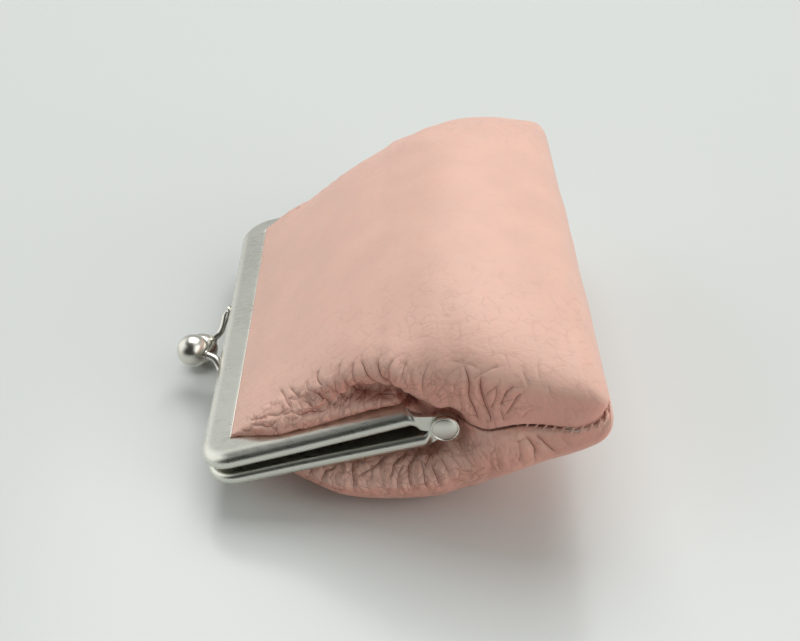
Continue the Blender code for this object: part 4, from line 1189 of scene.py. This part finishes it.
def make_twine(half, material):
    """Two-ply paper twine, wedged along the channel."""
    radius = FRAME_CORNER - TWINE_DEPTH
    middle = HALF_WIDTH - FRAME_CORNER
    near = [(x, TWINE_DEPTH - HALF_WIDTH) for x in np.linspace(ARM_END[half] - TWINE_DEPTH, FRAME_CORNER, 70)]
    near += arc((FRAME_CORNER, -middle), (radius, radius), 270, 180, 12)[1:]
    bar = [(TWINE_DEPTH, y) for y in np.linspace(-middle, middle, 150)[1:-1]]
    flat = near + bar + [(x, -y) for x, y in reversed(near)]
    line = np.array([(x, y, TURN[half] * level_at(x, TWINE_LEVEL)) for x, y in flat])
    first, second = frames_along(line)
    plies = []
    for start in (0.0, math.pi):
        angle = (distances(line) / TWINE_PITCH * 2 * math.pi + start)[:, None]
        plies.append(line + PLY_OFFSET * (np.cos(angle) * first + np.sin(angle) * second))
    points, faces = joined_tubes(plies, PLY_RADIUS, 8)
    piece = solid_piece("paper_twine_" + half, points, faces, material)
    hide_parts("twine_" + half)
    return piece


# Materials

def maths(tree, operation, first, second=None, clamp=False):
    made = tree.nodes.new("ShaderNodeMath")
    made.operation = operation
    made.use_clamp = clamp
    for k, value in enumerate((first, second)):
        if value is None:
            continue
        if isinstance(value, (int, float)):
            made.inputs[k].default_value = value
        else:
            tree.links.new(value, made.inputs[k])
    return made.outputs[0]


def times(tree, first, *others):
    """The product of values, socket or number."""
    for other in others:
        first = maths(tree, "MULTIPLY", first, other)
    return first


def plus(tree, first, *others):
    """The sum of values, socket or number."""
    for other in others:
        first = maths(tree, "ADD", first, other)
    return first


def remap(tree, value, low, high, to_low=0.0, to_high=1.0):
    made = tree.nodes.new("ShaderNodeMapRange")
    made.interpolation_type = "SMOOTHSTEP"
    for k, number in zip((1, 2, 3, 4), (low, high, to_low, to_high)):
        made.inputs[k].default_value = number
    tree.links.new(value, made.inputs[0])
    return made.outputs[0]


def blend_colours(tree, factor, first, second, mode="MIX"):
    made = tree.nodes.new("ShaderNodeMix")
    made.data_type = "RGBA"
    made.blend_type = mode
    for socket, value in zip((made.inputs[0], made.inputs[6], made.inputs[7]), (factor, first, second)):
        if isinstance(value, (int, float)):
            socket.default_value = value
        elif isinstance(value, tuple):
            socket.default_value = (*value, 1.0)
        else:
            tree.links.new(value, socket)
    return made.outputs[2]


def new_group(name, inputs, outputs):
    """A shader node group with named sockets: itself, its two inputs and its output node."""
    group = bpy.data.node_groups.new(name, "ShaderNodeTree")
    for label, kind, default in inputs:
        socket = group.interface.new_socket(name=label, in_out="INPUT", socket_type="NodeSocket" + kind)
        if default is not None:
            socket.default_value = default
    for label, kind in outputs:
        group.interface.new_socket(name=label, in_out="OUTPUT", socket_type="NodeSocket" + kind)
    given = group.nodes.new("NodeGroupInput")
    return group, given.outputs[0], given.outputs[1], group.nodes.new("NodeGroupOutput")


def scaled_vector(tree, vector, factors):
    made = tree.nodes.new("ShaderNodeVectorMath")
    made.operation = "MULTIPLY"
    made.inputs[1].default_value = factors
    tree.links.new(vector, made.inputs[0])
    return made.outputs[0]


def texture(tree, kind, vector, scale, **settings):
    made = tree.nodes.new(kind)
    for name, value in settings.items():
        if hasattr(made, name):
            setattr(made, name, value)
        else:
            made.inputs[name].default_value = value
    if isinstance(scale, (int, float)):
        made.inputs["Scale"].default_value = scale
    else:
        tree.links.new(scale, made.inputs["Scale"])
    tree.links.new(vector, made.inputs["Vector"])
    return made


def clouds(tree, vector, scale, **settings):
    """Soft noise from 0 to 1."""
    return texture(tree, "ShaderNodeTexNoise", vector, scale, **settings).outputs["Fac"]


def cell_borders(tree, vector, scale):
    """Distance from the borders of uneven cells."""
    cells = texture(tree, "ShaderNodeTexVoronoi", vector, scale, feature="DISTANCE_TO_EDGE")
    return cells.outputs["Distance"]


def warped(tree, vector, scale, detail, reach):
    """A vector bent by noise, so that cells lose their even shape."""
    drift = texture(tree, "ShaderNodeTexNoise", vector, scale, Detail=detail)
    moved = tree.nodes.new("ShaderNodeVectorMath")
    moved.operation = "MULTIPLY_ADD"
    moved.inputs[1].default_value = (reach, reach, reach)
    tree.links.new(drift.outputs["Color"], moved.inputs[0])
    tree.links.new(vector, moved.inputs[2])
    return moved.outputs[0]


def grain_group():
    """Leather grain: puffed pebbles between fine creases, with pores."""
    group, vector, density, result = new_group(
        "Leather Grain",
        (("Vector", "Vector", None), ("Pebbles per Metre", "Float", 700.0)),
        (("Height", "Float"), ("Crease", "Float"), ("Mottle", "Float")),
    )
    bent = warped(group, vector, 260.0, 2.0, 0.0011)
    coarse = cell_borders(group, bent, density)
    fine = cell_borders(group, bent, times(group, density, 2.1))
    shown = remap(group, clouds(group, vector, 420.0, Detail=2.0), 0.44, 0.6)
    hidden = maths(group, "SUBTRACT", 1.0, shown)
    coarse_puff = maths(group, "MAXIMUM", remap(group, coarse, 0.0, 0.3), hidden)
    fine_puff = remap(group, fine, 0.0, 0.3)
    pores = times(group, clouds(group, vector, 5200.0, Detail=3.0), 0.12)
    height = plus(group, times(group, coarse_puff, 0.5), times(group, fine_puff, 0.24), pores)
    crease = times(group, remap(group, coarse, 0.0, 0.12, 1.0, 0.0), shown)
    group.links.new(height, result.inputs["Height"])
    group.links.new(crease, result.inputs["Crease"])
    group.links.new(clouds(group, vector, 90.0, Detail=4.0), result.inputs["Mottle"])
    return group


def gathers_group():
    """Gathered leather: puffed cells of any shape with thin creases, some fainter than others."""
    group, vector, density, result = new_group(
        "Leather Gathers",
        (("Vector", "Vector", None), ("Cells per Metre", "Float", 600.0)),
        (("Height", "Float"), ("Crease", "Float")),
    )
    cells = cell_borders(group, warped(group, vector, 330.0, 1.5, 0.0012), density)
    share = remap(group, clouds(group, vector, 380.0, Detail=1.0), 0.38, 0.6, 0.15, 1.0)
    crease = times(group, remap(group, cells, 0.0, 0.075, 1.0, 0.0), share)
    puff = times(group, remap(group, cells, 0.0, 0.34), share)
    group.links.new(crease, result.inputs["Crease"])
    group.links.new(puff, result.inputs["Height"])
    return group


def wear_group():
    """Handling wear of a plated surface: faint rub marks and tiny nicks."""
    group, vector, density, result = new_group(
        "Plating Wear",
        (("Vector", "Vector", None), ("Grain per Metre", "Float", 900.0)),
        (("Rub", "Float"), ("Nicks", "Float"), ("Height", "Float")),
    )
    brushed = scaled_vector(group, vector, (0.3, 1.0, 1.0))
    rub = clouds(group, brushed, density, Detail=5.0, Roughness=0.6)
    patches = clouds(group, vector, 60.0, Detail=3.0)
    spots = texture(group, "ShaderNodeTexVoronoi", vector, times(group, density, 0.5)).outputs["Distance"]
    nicks = times(group, remap(group, spots, 0.05, 0.1, 1.0, 0.0), remap(group, patches, 0.62, 0.7))
    rubbed = plus(group, times(group, rub, 0.6), times(group, patches, 0.4))
    height = maths(group, "SUBTRACT", times(group, rub, 0.3), times(group, nicks, 0.3))
    group.links.new(rubbed, result.inputs["Rub"])
    group.links.new(nicks, result.inputs["Nicks"])
    group.links.new(height, result.inputs["Height"])
    return group


def weave_group():
    """Plain weave or twisted strands: alternate threads over and under."""
    group, vector, density, result = new_group(
        "Plain Weave",
        (("Vector", "Vector", None), ("Threads per Metre", "Float", 2400.0)),
        (("Height", "Float"), ("Shade", "Float")),
    )
    split = group.nodes.new("ShaderNodeSeparateXYZ")
    group.links.new(vector, split.inputs[0])
    turn = times(group, density, math.pi)
    along, across = (maths(group, "SINE", times(group, split.outputs[k], turn)) for k in (0, 1))
    woven = remap(group, times(group, along, across), -1.0, 1.0)
    fuzz = times(group, clouds(group, vector, 3000.0, Detail=3.0), 0.4)
    slub = clouds(group, scaled_vector(group, vector, (0.35, 1.0, 1.0)), 2000.0)
    group.links.new(plus(group, woven, fuzz), result.inputs["Height"])
    group.links.new(slub, result.inputs["Shade"])
    return group


GROUPS = {}


def placed_group(tree, maker, vector, density):
    """A group's outputs by name, the group made on its first use."""
    if maker not in GROUPS:
        GROUPS[maker] = maker()
    made = tree.nodes.new("ShaderNodeGroup")
    made.node_tree = GROUPS[maker]
    made.inputs[1].default_value = density
    tree.links.new(vector, made.inputs[0])
    return made.outputs


def new_material(name):
    """A material with its node tree and shader, or a made one by itself."""
    old = bpy.data.materials.get(name)
    if old is not None:
        return old, None, None
    material = bpy.data.materials.new(name)
    material.use_nodes = True
    tree = material.node_tree
    return material, tree, tree.nodes["Principled BSDF"]


def add_bump(tree, shader, height, distance):
    bump = tree.nodes.new("ShaderNodeBump")
    bump.inputs["Strength"].default_value = 1.0
    bump.inputs["Distance"].default_value = distance
    tree.links.new(height, bump.inputs["Height"])
    tree.links.new(bump.outputs["Normal"], shader.inputs["Normal"])


def shaded(colour, share):
    """A colour made darker, or lighter up to white."""
    return tuple(min(c * share, 1.0) for c in colour)


def panel_coordinates(tree):
    """Metres along the leather or cloth."""
    source = tree.nodes.new("ShaderNodeUVMap")
    source.uv_map = "panel"
    return source.outputs[0]


def attribute(tree, name):
    made = tree.nodes.new("ShaderNodeAttribute")
    made.attribute_name = name
    return made.outputs["Fac"]


def leather_material():
    look = bpy.context.scene.wallet_leather
    material, tree, shader = new_material("salmon_leather")
    if tree is None:
        return material
    vector = panel_coordinates(tree)
    stretched = scaled_vector(tree, vector, (0.32, 1.2, 1.0))
    upright = scaled_vector(tree, vector, (1.0, 0.42, 1.0))
    grain = placed_group(tree, grain_group, vector, 1000.0 / look.grain_size_mm)
    drawn = placed_group(tree, grain_group, stretched, 1350.0 / look.grain_size_mm)
    small = placed_group(tree, gathers_group, vector, 1000.0 / look.gather_size_mm)
    large = placed_group(tree, gathers_group, upright, 680.0 / look.gather_size_mm)
    side, near, pebble, pleats, valley = (
        attribute(tree, name) for name in ("fold_side", "fold_near", "pebble", "pleats", "valley"))
    gathered = remap(tree, pebble, 0.45, 0.95)
    off_line = maths(tree, "ABSOLUTE", side)

    # Painted shade in the crease shade colour: along fold lines, softly beside them and in the broad valleys,
    # in the gathered cells and in the fine grain's creases.
    line = times(tree, remap(tree, off_line, 0.02, 0.15, 1.0, 0.0), remap(tree, near, 0.0, 0.9))
    soft = plus(tree, times(tree, near, 0.16), times(tree, valley, 0.45))
    cells = maths(tree, "MAXIMUM", times(tree, small["Crease"], gathered, 0.46),
                  times(tree, large["Crease"], pleats, 0.34))
    marks = maths(tree, "MAXIMUM", times(tree, line, 0.75), cells)
    fine = times(tree, grain["Crease"], plus(tree, times(tree, pebble, 0.16), 0.03))
    depth = maths(tree, "ADD", plus(tree, marks, soft), fine, clamp=True)
    lit, shade = tuple(look.colour)[:3], tuple(look.crease_shade_colour)[:3]
    mottle = remap(tree, grain["Mottle"], 0.35, 0.68)
    tone = blend_colours(tree, mottle, shaded(lit, 0.965), shaded(lit, 1.02))
    # Painted shade: the mask darkens the leather towards the crease shade colour.
    tone = blend_colours(tree, depth, tone, shade)
    # Painted shade: leather facing down gets a deeper, redder colour.
    facing = tree.nodes.new("ShaderNodeSeparateXYZ")
    tree.links.new(tree.nodes.new("ShaderNodeTexCoord").outputs["Normal"], facing.inputs[0])
    below = remap(tree, facing.outputs[2], -0.2, 0.5, 1.0, 0.0)
    tone = blend_colours(tree, below, tone, UNDERSIDE_PAINTED_SHADE, mode="MULTIPLY")
    tree.links.new(tone, shader.inputs["Base Color"])

    rough = remap(tree, grain["Mottle"], 0.3, 0.7, look.roughness - 0.05, look.roughness + 0.05)
    rough = maths(tree, "ADD", rough, times(tree, line, 0.2), clamp=True)
    tree.links.new(rough, shader.inputs["Roughness"])

    strength = plus(tree, times(tree, pebble, 0.35), 0.25)
    height = plus(
        tree,
        times(tree, grain["Height"], strength),
        times(tree, drawn["Height"], 0.28),
        times(tree, small["Height"], gathered, 1.5),
        times(tree, large["Height"], pleats, 1.7),
    )
    groove = times(tree, remap(tree, off_line, 0.0, 0.5, 1.0, 0.0), near)
    height = maths(tree, "SUBTRACT", height, times(tree, groove, 2.2))
    add_bump(tree, shader, height, look.grain_depth)
    shader.inputs["Specular IOR Level"].default_value = 0.35
    shader.inputs["Sheen Weight"].default_value = 0.06
    shader.inputs["Sheen Roughness"].default_value = 0.5
    shader.inputs["Subsurface Weight"].default_value = 0.15
    shader.inputs["Subsurface Radius"].default_value = (1.0, 0.3, 0.18)
    shader.inputs["Subsurface Scale"].default_value = 0.0015
    return material


def nickel_material(name, colour, roughness, grain, rub):
    material, tree, shader = new_material(name)
    if tree is None:
        return material
    coordinates = tree.nodes.new("ShaderNodeTexCoord").outputs["Object"]
    wear = placed_group(tree, wear_group, coordinates, grain)
    rub_tone = remap(tree, wear["Rub"], 0.35, 0.65)
    tone = blend_colours(tree, rub_tone, shaded(colour, 0.97), shaded(colour, 1.02))
    tone = blend_colours(tree, times(tree, wear["Nicks"], 0.6), tone, (0.9, 0.9, 0.87))
    tree.links.new(tone, shader.inputs["Base Color"])
    shader.inputs["Metallic"].default_value = 1.0
    rubbed = remap(tree, wear["Rub"], 0.3, 0.7, roughness - rub, roughness + rub)
    rough = maths(tree, "ADD", rubbed, times(tree, wear["Nicks"], 0.2), clamp=True)
    tree.links.new(rough, shader.inputs["Roughness"])
    add_bump(tree, shader, wear["Height"], 0.012 * MM)
    return material


def satin_nickel():
    look = bpy.context.scene.wallet_metal
    colour = tuple(look.satin_colour)[:3]
    return nickel_material("satin_nickel_plate", colour, look.satin_roughness, grain=1600.0, rub=0.05)


def bright_nickel():
    look = bpy.context.scene.wallet_metal
    colour = tuple(look.bright_colour)[:3]
    return nickel_material("bright_nickel_plate", colour, look.bright_roughness, grain=700.0, rub=0.03)


def cloth_material(name, colour, threads, roughness, depth, on_panel=False):
    material, tree, shader = new_material(name)
    if tree is None:
        return material
    if on_panel:
        vector = panel_coordinates(tree)
    else:
        vector = tree.nodes.new("ShaderNodeTexCoord").outputs["Object"]
    weave = placed_group(tree, weave_group, vector, threads)
    slubs = remap(tree, weave["Shade"], 0.35, 0.65)
    tone = blend_colours(tree, slubs, shaded(colour, 0.93), shaded(colour, 1.05))
    # Painted shade: the low parts of the weave, between the threads, are darkened.
    tone = blend_colours(tree, remap(tree, weave["Height"], 0.1, 0.6, 0.3, 0.0), tone, shaded(colour, 0.6))
    tree.links.new(tone, shader.inputs["Base Color"])
    rough = remap(tree, weave["Height"], 0, 1.2, roughness, roughness - 0.12)
    tree.links.new(rough, shader.inputs["Roughness"])
    add_bump(tree, shader, weave["Height"], depth)
    return material


# Settings

class WalletShape(bpy.types.PropertyGroup):
    """Sizes of the leather's relief."""

    pebble_size: bpy.props.FloatProperty(
        name="Pebble Size", description="Width of the puckered cells along the frame",
        default=3.4 * MM, min=1.0 * MM, max=8.0 * MM, unit="LENGTH", precision=4)
    pebble_depth: bpy.props.FloatProperty(
        name="Pebble Depth", description="Height of the puckered cells along the frame",
        default=0.04 * MM, min=0.0, max=1.0 * MM, unit="LENGTH", precision=5)
    fold_depth: bpy.props.FloatProperty(
        name="Fold Depth", description="Share of the folds' full depth", default=1.0, min=0.0, max=1.5,
        subtype="FACTOR")
    roll_over_frame: bpy.props.FloatProperty(
        name="Roll Over Frame", description="How far the leather rolls out over the frame's arms",
        default=1.0, min=0.0, max=1.5, subtype="FACTOR")
    stitch_length: bpy.props.FloatProperty(
        name="Stitch Length", description="Length of a stitch across the seam",
        default=1.2 * MM, min=0.6 * MM, max=3.0 * MM, unit="LENGTH", precision=4)
    stitch_spacing: bpy.props.FloatProperty(
        name="Stitch Spacing", description="Distance from stitch to stitch along the seam",
        default=1.6 * MM, min=1.0 * MM, max=5.0 * MM, unit="LENGTH", precision=4)


class WalletLeather(bpy.types.PropertyGroup):
    """Looks of the leather."""

    colour: bpy.props.FloatVectorProperty(
        name="Colour", description="Leather colour in full light", subtype="COLOR", size=3,
        min=0.0, max=1.0, default=(0.82, 0.51, 0.415))
    # Painted shade: the colour that creases, folds, valleys and the seam's groove are darkened towards.
    crease_shade_colour: bpy.props.FloatVectorProperty(
        name="Crease Colour", description="Leather colour deep in a crease", subtype="COLOR", size=3,
        min=0.0, max=1.0, default=(0.28, 0.085, 0.06))
    roughness: bpy.props.FloatProperty(
        name="Roughness", description="Leather roughness", default=0.45, min=0.0, max=1.0, subtype="FACTOR")
    gather_size_mm: bpy.props.FloatProperty(
        name="Gather Size (mm)", description="Width of the puffed cells beside the frame's arms", default=1.8,
        min=0.5, max=6.0)
    grain_size_mm: bpy.props.FloatProperty(
        name="Grain Size", description="Width of the finest pebbles, in millimetres", default=2.6,
        min=0.3, max=6.0)
    grain_depth: bpy.props.FloatProperty(
        name="Grain Depth", description="Height of the fine grain", default=0.13 * MM, min=0.0,
        max=1.0 * MM, unit="LENGTH", precision=5)


class WalletMetal(bpy.types.PropertyGroup):
    """Looks of the plated metal."""

    satin_colour: bpy.props.FloatVectorProperty(
        name="Satin Colour", description="Colour of the frame's plating", subtype="COLOR", size=3,
        min=0.0, max=1.0, default=(0.71, 0.71, 0.645))
    satin_roughness: bpy.props.FloatProperty(
        name="Satin Roughness", description="Roughness of the frame", default=0.3, min=0.0, max=1.0,
        subtype="FACTOR")
    bright_colour: bpy.props.FloatVectorProperty(
        name="Bright Colour", description="Colour of the clasp and rivets", subtype="COLOR", size=3,
        min=0.0, max=1.0, default=(0.72, 0.70, 0.64))
    bright_roughness: bpy.props.FloatProperty(
        name="Bright Roughness", description="Roughness of the clasp and rivets", default=0.24, min=0.0,
        max=1.0, subtype="FACTOR")


class WalletStage(bpy.types.PropertyGroup):
    """Table and light."""

    table_colour: bpy.props.FloatVectorProperty(
        name="Table Colour", description="Colour of the glossy table", subtype="COLOR", size=3,
        min=0.0, max=1.0, default=(0.69, 0.715, 0.70))
    lamp_power: bpy.props.FloatProperty(
        name="Lamp Power", description="Power of the soft overhead lamp", default=6.3, min=0.0, unit="POWER")
    room_light: bpy.props.FloatProperty(
        name="Room Light", description="Strength of the room's light", default=0.52, min=0.0, max=4.0)


# Steps

class WALLET_OT_frame(bpy.types.Operator):
    """Make the two rolled nickel frame halves"""

    bl_idname = "wallet.make_frame"
    bl_label = "Make Frame"

    def execute(self, context):
        for half, body in BODY_OF.items():
            piece = make_frame_half(half, satin_nickel())
            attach(piece, body)
        return {"FINISHED"}


class WALLET_OT_rivets(bpy.types.Operator):
    """Make the two hinge rivets"""

    bl_idname = "wallet.make_rivets"
    bl_label = "Make Rivets"

    def execute(self, context):
        for label in ("near", "far"):
            piece = make_rivet(label, bright_nickel())
            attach(piece, "pouch")
        return {"FINISHED"}


class WALLET_OT_clasp(bpy.types.Operator):
    """Make the two crossing balls and their posts"""

    bl_idname = "wallet.make_clasp"
    bl_label = "Make Clasp"

    def execute(self, context):
        for half, body in BODY_OF.items():
            for maker in (make_ball, make_post):
                piece = maker(half, bright_nickel())
                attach(piece, body)
        return {"FINISHED"}


class WALLET_OT_leather(bpy.types.Operator):
    """Make the two leather panels of the pouch"""

    bl_idname = "wallet.make_leather"
    bl_label = "Make Leather"

    def execute(self, context):
        for panel in ("front", "back"):
            piece = make_panel(panel, leather_material())
            if panel == "front":
                bend_with_hinge(piece)
            else:
                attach(piece, "pouch")
        return {"FINISHED"}


class WALLET_OT_lining(bpy.types.Operator):
    """Make the two cloth linings"""

    bl_idname = "wallet.make_lining"
    bl_label = "Make Lining"

    def execute(self, context):
        cloth = cloth_material("lining_cotton", LINING_COLOUR, 2000.0, 0.9, 0.04 * MM, on_panel=True)
        for panel in ("front", "back"):
            piece = make_lining(panel, cloth)
            if panel == "front":
                bend_with_hinge(piece)
            else:
                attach(piece, "pouch")
        return {"FINISHED"}


class WALLET_OT_threads(bpy.types.Operator):
    """Make the stitches and the twine in the frame's channels"""

    bl_idname = "wallet.make_threads"
    bl_label = "Make Threads"

    def execute(self, context):
        shape = context.scene.wallet_shape
        thread = cloth_material("pink_thread", THREAD_COLOUR, 5200.0, 0.75, 0.03 * MM)
        seam = make_stitches(
            "seam_stitches", "seam_thread", inset=0.55 * MM, step=shape.stitch_spacing,
            length=shape.stitch_length, thickness=0.36 * MM, proud=0.15 * MM, material=thread)
        inner = make_stitches(
            "lining_stitches", "lining_thread", inset=1.3 * MM, step=1.4 * shape.stitch_spacing,
            length=0.7 * MM, thickness=0.22 * MM, proud=0.05 * MM, material=thread)
        for piece in (seam, inner):
            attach(piece, "pouch")
        paper = cloth_material("paper_twine", TWINE_COLOUR, 3200.0, 0.85, 0.04 * MM)
        for half, body in BODY_OF.items():
            piece = make_twine(half, paper)
            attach(piece, body)
        return {"FINISHED"}


def table_material():
    look = bpy.context.scene.wallet_stage
    material, tree, shader = new_material("glossy_white_table")
    if tree is None:
        return material
    coordinates = tree.nodes.new("ShaderNodeTexCoord").outputs["Object"]
    base = tuple(look.table_colour)[:3]
    patches = remap(tree, clouds(tree, coordinates, 3.0, Detail=2.0), 0.3, 0.7)
    tree.links.new(blend_colours(tree, patches, shaded(base, 0.995), base), shader.inputs["Base Color"])
    smears = remap(tree, clouds(tree, coordinates, 25.0, Detail=3.0), 0.3, 0.7, 0.22, 0.23)
    tree.links.new(smears, shader.inputs["Roughness"])
    shader.inputs["Specular IOR Level"].default_value = 0.4
    return material


def towards(tree, direction, aim):
    """How nearly a direction points at aim, as a cosine."""
    product = tree.nodes.new("ShaderNodeVectorMath")
    product.operation = "DOT_PRODUCT"
    tree.links.new(direction, product.inputs[0])
    product.inputs[1].default_value = Vector(aim).normalized()
    return product.outputs["Value"]


def light_room(strength):
    """A white light tent: dark on the camera's side and in a patch overhead, brighter on the left.

    A soft glow on the right in front lights the frame's corner.
    """
    world = bpy.data.worlds.new("studio_room")
    bpy.context.scene.world = world
    world.use_nodes = True
    tree = world.node_tree
    sky = tree.nodes["Background"]
    direction = tree.nodes.new("ShaderNodeTexCoord").outputs["Generated"]
    split = tree.nodes.new("ShaderNodeSeparateXYZ")
    tree.links.new(direction, split.inputs[0])
    x, y, z = split.outputs
    aside = maths(tree, "MAXIMUM", times(tree, x, 0.85), times(tree, x, -0.3))
    facing = maths(tree, "SUBTRACT", times(tree, y, -1.0), aside)
    open_side = remap(tree, facing, -0.05, 0.45, 1.0, 0.06)
    back = remap(tree, y, 0.45, 0.95, 1.0, 0.85)
    flag = remap(tree, towards(tree, direction, FLAG_AIM), 0.83, 0.96, 1.0, 0.15)
    left = times(tree, remap(tree, times(tree, x, -1.0), 0.3, 0.8), remap(tree, y, -0.5, 0.0, 0.0, 1.3))
    value = times(tree, times(tree, open_side, back), times(tree, flag, plus(tree, left, 1.0)))
    value = plus(tree, value, remap(tree, towards(tree, direction, GLOW_AIM), 0.77, 0.97, 0.0, 2.9))
    tint = blend_colours(tree, remap(tree, z, -0.2, 0.6), (1.0, 0.99, 0.96), (0.985, 1.0, 0.985))
    scaled = tree.nodes.new("ShaderNodeVectorMath")
    scaled.operation = "SCALE"
    tree.links.new(tint, scaled.inputs[0])
    tree.links.new(value, scaled.inputs["Scale"])
    tree.links.new(scaled.outputs[0], sky.inputs["Color"])
    sky.inputs["Strength"].default_value = strength


def add_lamp(power):
    """The softbox overhead, behind the purse and turned to it."""
    data = bpy.data.lights.new("softbox", "AREA")
    data.shape = "RECTANGLE"
    data.size, data.size_y = LAMP_SIZE
    data.energy = power
    data.color = LAMP_COLOUR
    lamp = bpy.data.objects.new("softbox", data)
    lamp.location = LAMP_PLACE
    aim = Vector(LAMP_TARGET) - Vector(LAMP_PLACE)
    lamp.rotation_euler = aim.to_track_quat("-Z", "Y").to_euler()
    bpy.context.scene.collection.objects.link(lamp)


def add_camera():
    """The photo's view."""
    data = bpy.data.cameras.new("photo_view")
    data.sensor_width = SENSOR
    data.lens = VIEW_FOCAL / VIEW_WIDTH * SENSOR
    data.clip_start = 0.01
    camera = bpy.data.objects.new("photo_view", data)
    camera.location = Vector(VIEW_PLACE)
    camera.rotation_euler = (math.pi / 2 - VIEW_PITCH, 0.0, 0.0)
    bpy.context.scene.collection.objects.link(camera)
    bpy.context.scene.camera = camera


class WALLET_OT_stage(bpy.types.Operator):
    """Set the table, the light and the camera"""

    bl_idname = "wallet.set_stage"
    bl_label = "Set Stage"

    def execute(self, context):
        look = context.scene.wallet_stage
        corners = [(a * TABLE_REACH, b * TABLE_REACH, 0) for a, b in ((-1, -1), (1, -1), (1, 1), (-1, 1))]
        mesh = bpy.data.meshes.new("table")
        mesh.from_pydata(corners, [], [(0, 1, 2, 3)])
        mesh.materials.append(table_material())
        table = bpy.data.objects.new("table", mesh)
        context.scene.collection.objects.link(table)
        light_room(look.room_light)
        add_lamp(look.lamp_power)
        add_camera()
        context.scene.view_settings.view_transform = "Standard"
        return {"FINISHED"}


STEPS = (
    WALLET_OT_stage,
    WALLET_OT_frame,
    WALLET_OT_rivets,
    WALLET_OT_clasp,
    WALLET_OT_leather,
    WALLET_OT_lining,
    WALLET_OT_threads,
)


class WALLET_PT_sidebar(bpy.types.Panel):
    """The wallet's settings and steps"""

    bl_idname = "WALLET_PT_sidebar"
    bl_label = "Clasp Wallet"
    bl_space_type = "VIEW_3D"
    bl_region_type = "UI"
    bl_category = "Wallet"

    def draw(self, context):
        for group in SETTINGS:
            settings = getattr(context.scene, group)
            box = self.layout.box()
            for prop in settings.bl_rna.properties:
                if prop.identifier not in {"rna_type", "name"}:
                    box.prop(settings, prop.identifier)
        for step in STEPS:
            self.layout.operator(step.bl_idname)


SETTINGS = {
    "wallet_shape": WalletShape,
    "wallet_leather": WalletLeather,
    "wallet_metal": WalletMetal,
    "wallet_stage": WalletStage,
}
CLASSES = (*SETTINGS.values(), *STEPS, WALLET_PT_sidebar)


def register():
    for one in CLASSES:
        bpy.utils.register_class(one)
    for name, group in SETTINGS.items():
        setattr(bpy.types.Scene, name, bpy.props.PointerProperty(type=group))


def unregister():
    for name in SETTINGS:
        delattr(bpy.types.Scene, name)
    for one in reversed(CLASSES):
        bpy.utils.unregister_class(one)


def main():
    register()
    bpy.ops.wallet.set_stage()
    bpy.ops.wallet.make_frame()
    bpy.ops.wallet.make_rivets()
    bpy.ops.wallet.make_clasp()
    bpy.ops.wallet.make_leather()
    bpy.ops.wallet.make_lining()
    bpy.ops.wallet.make_threads()


if __name__ == "__main__":
    main()
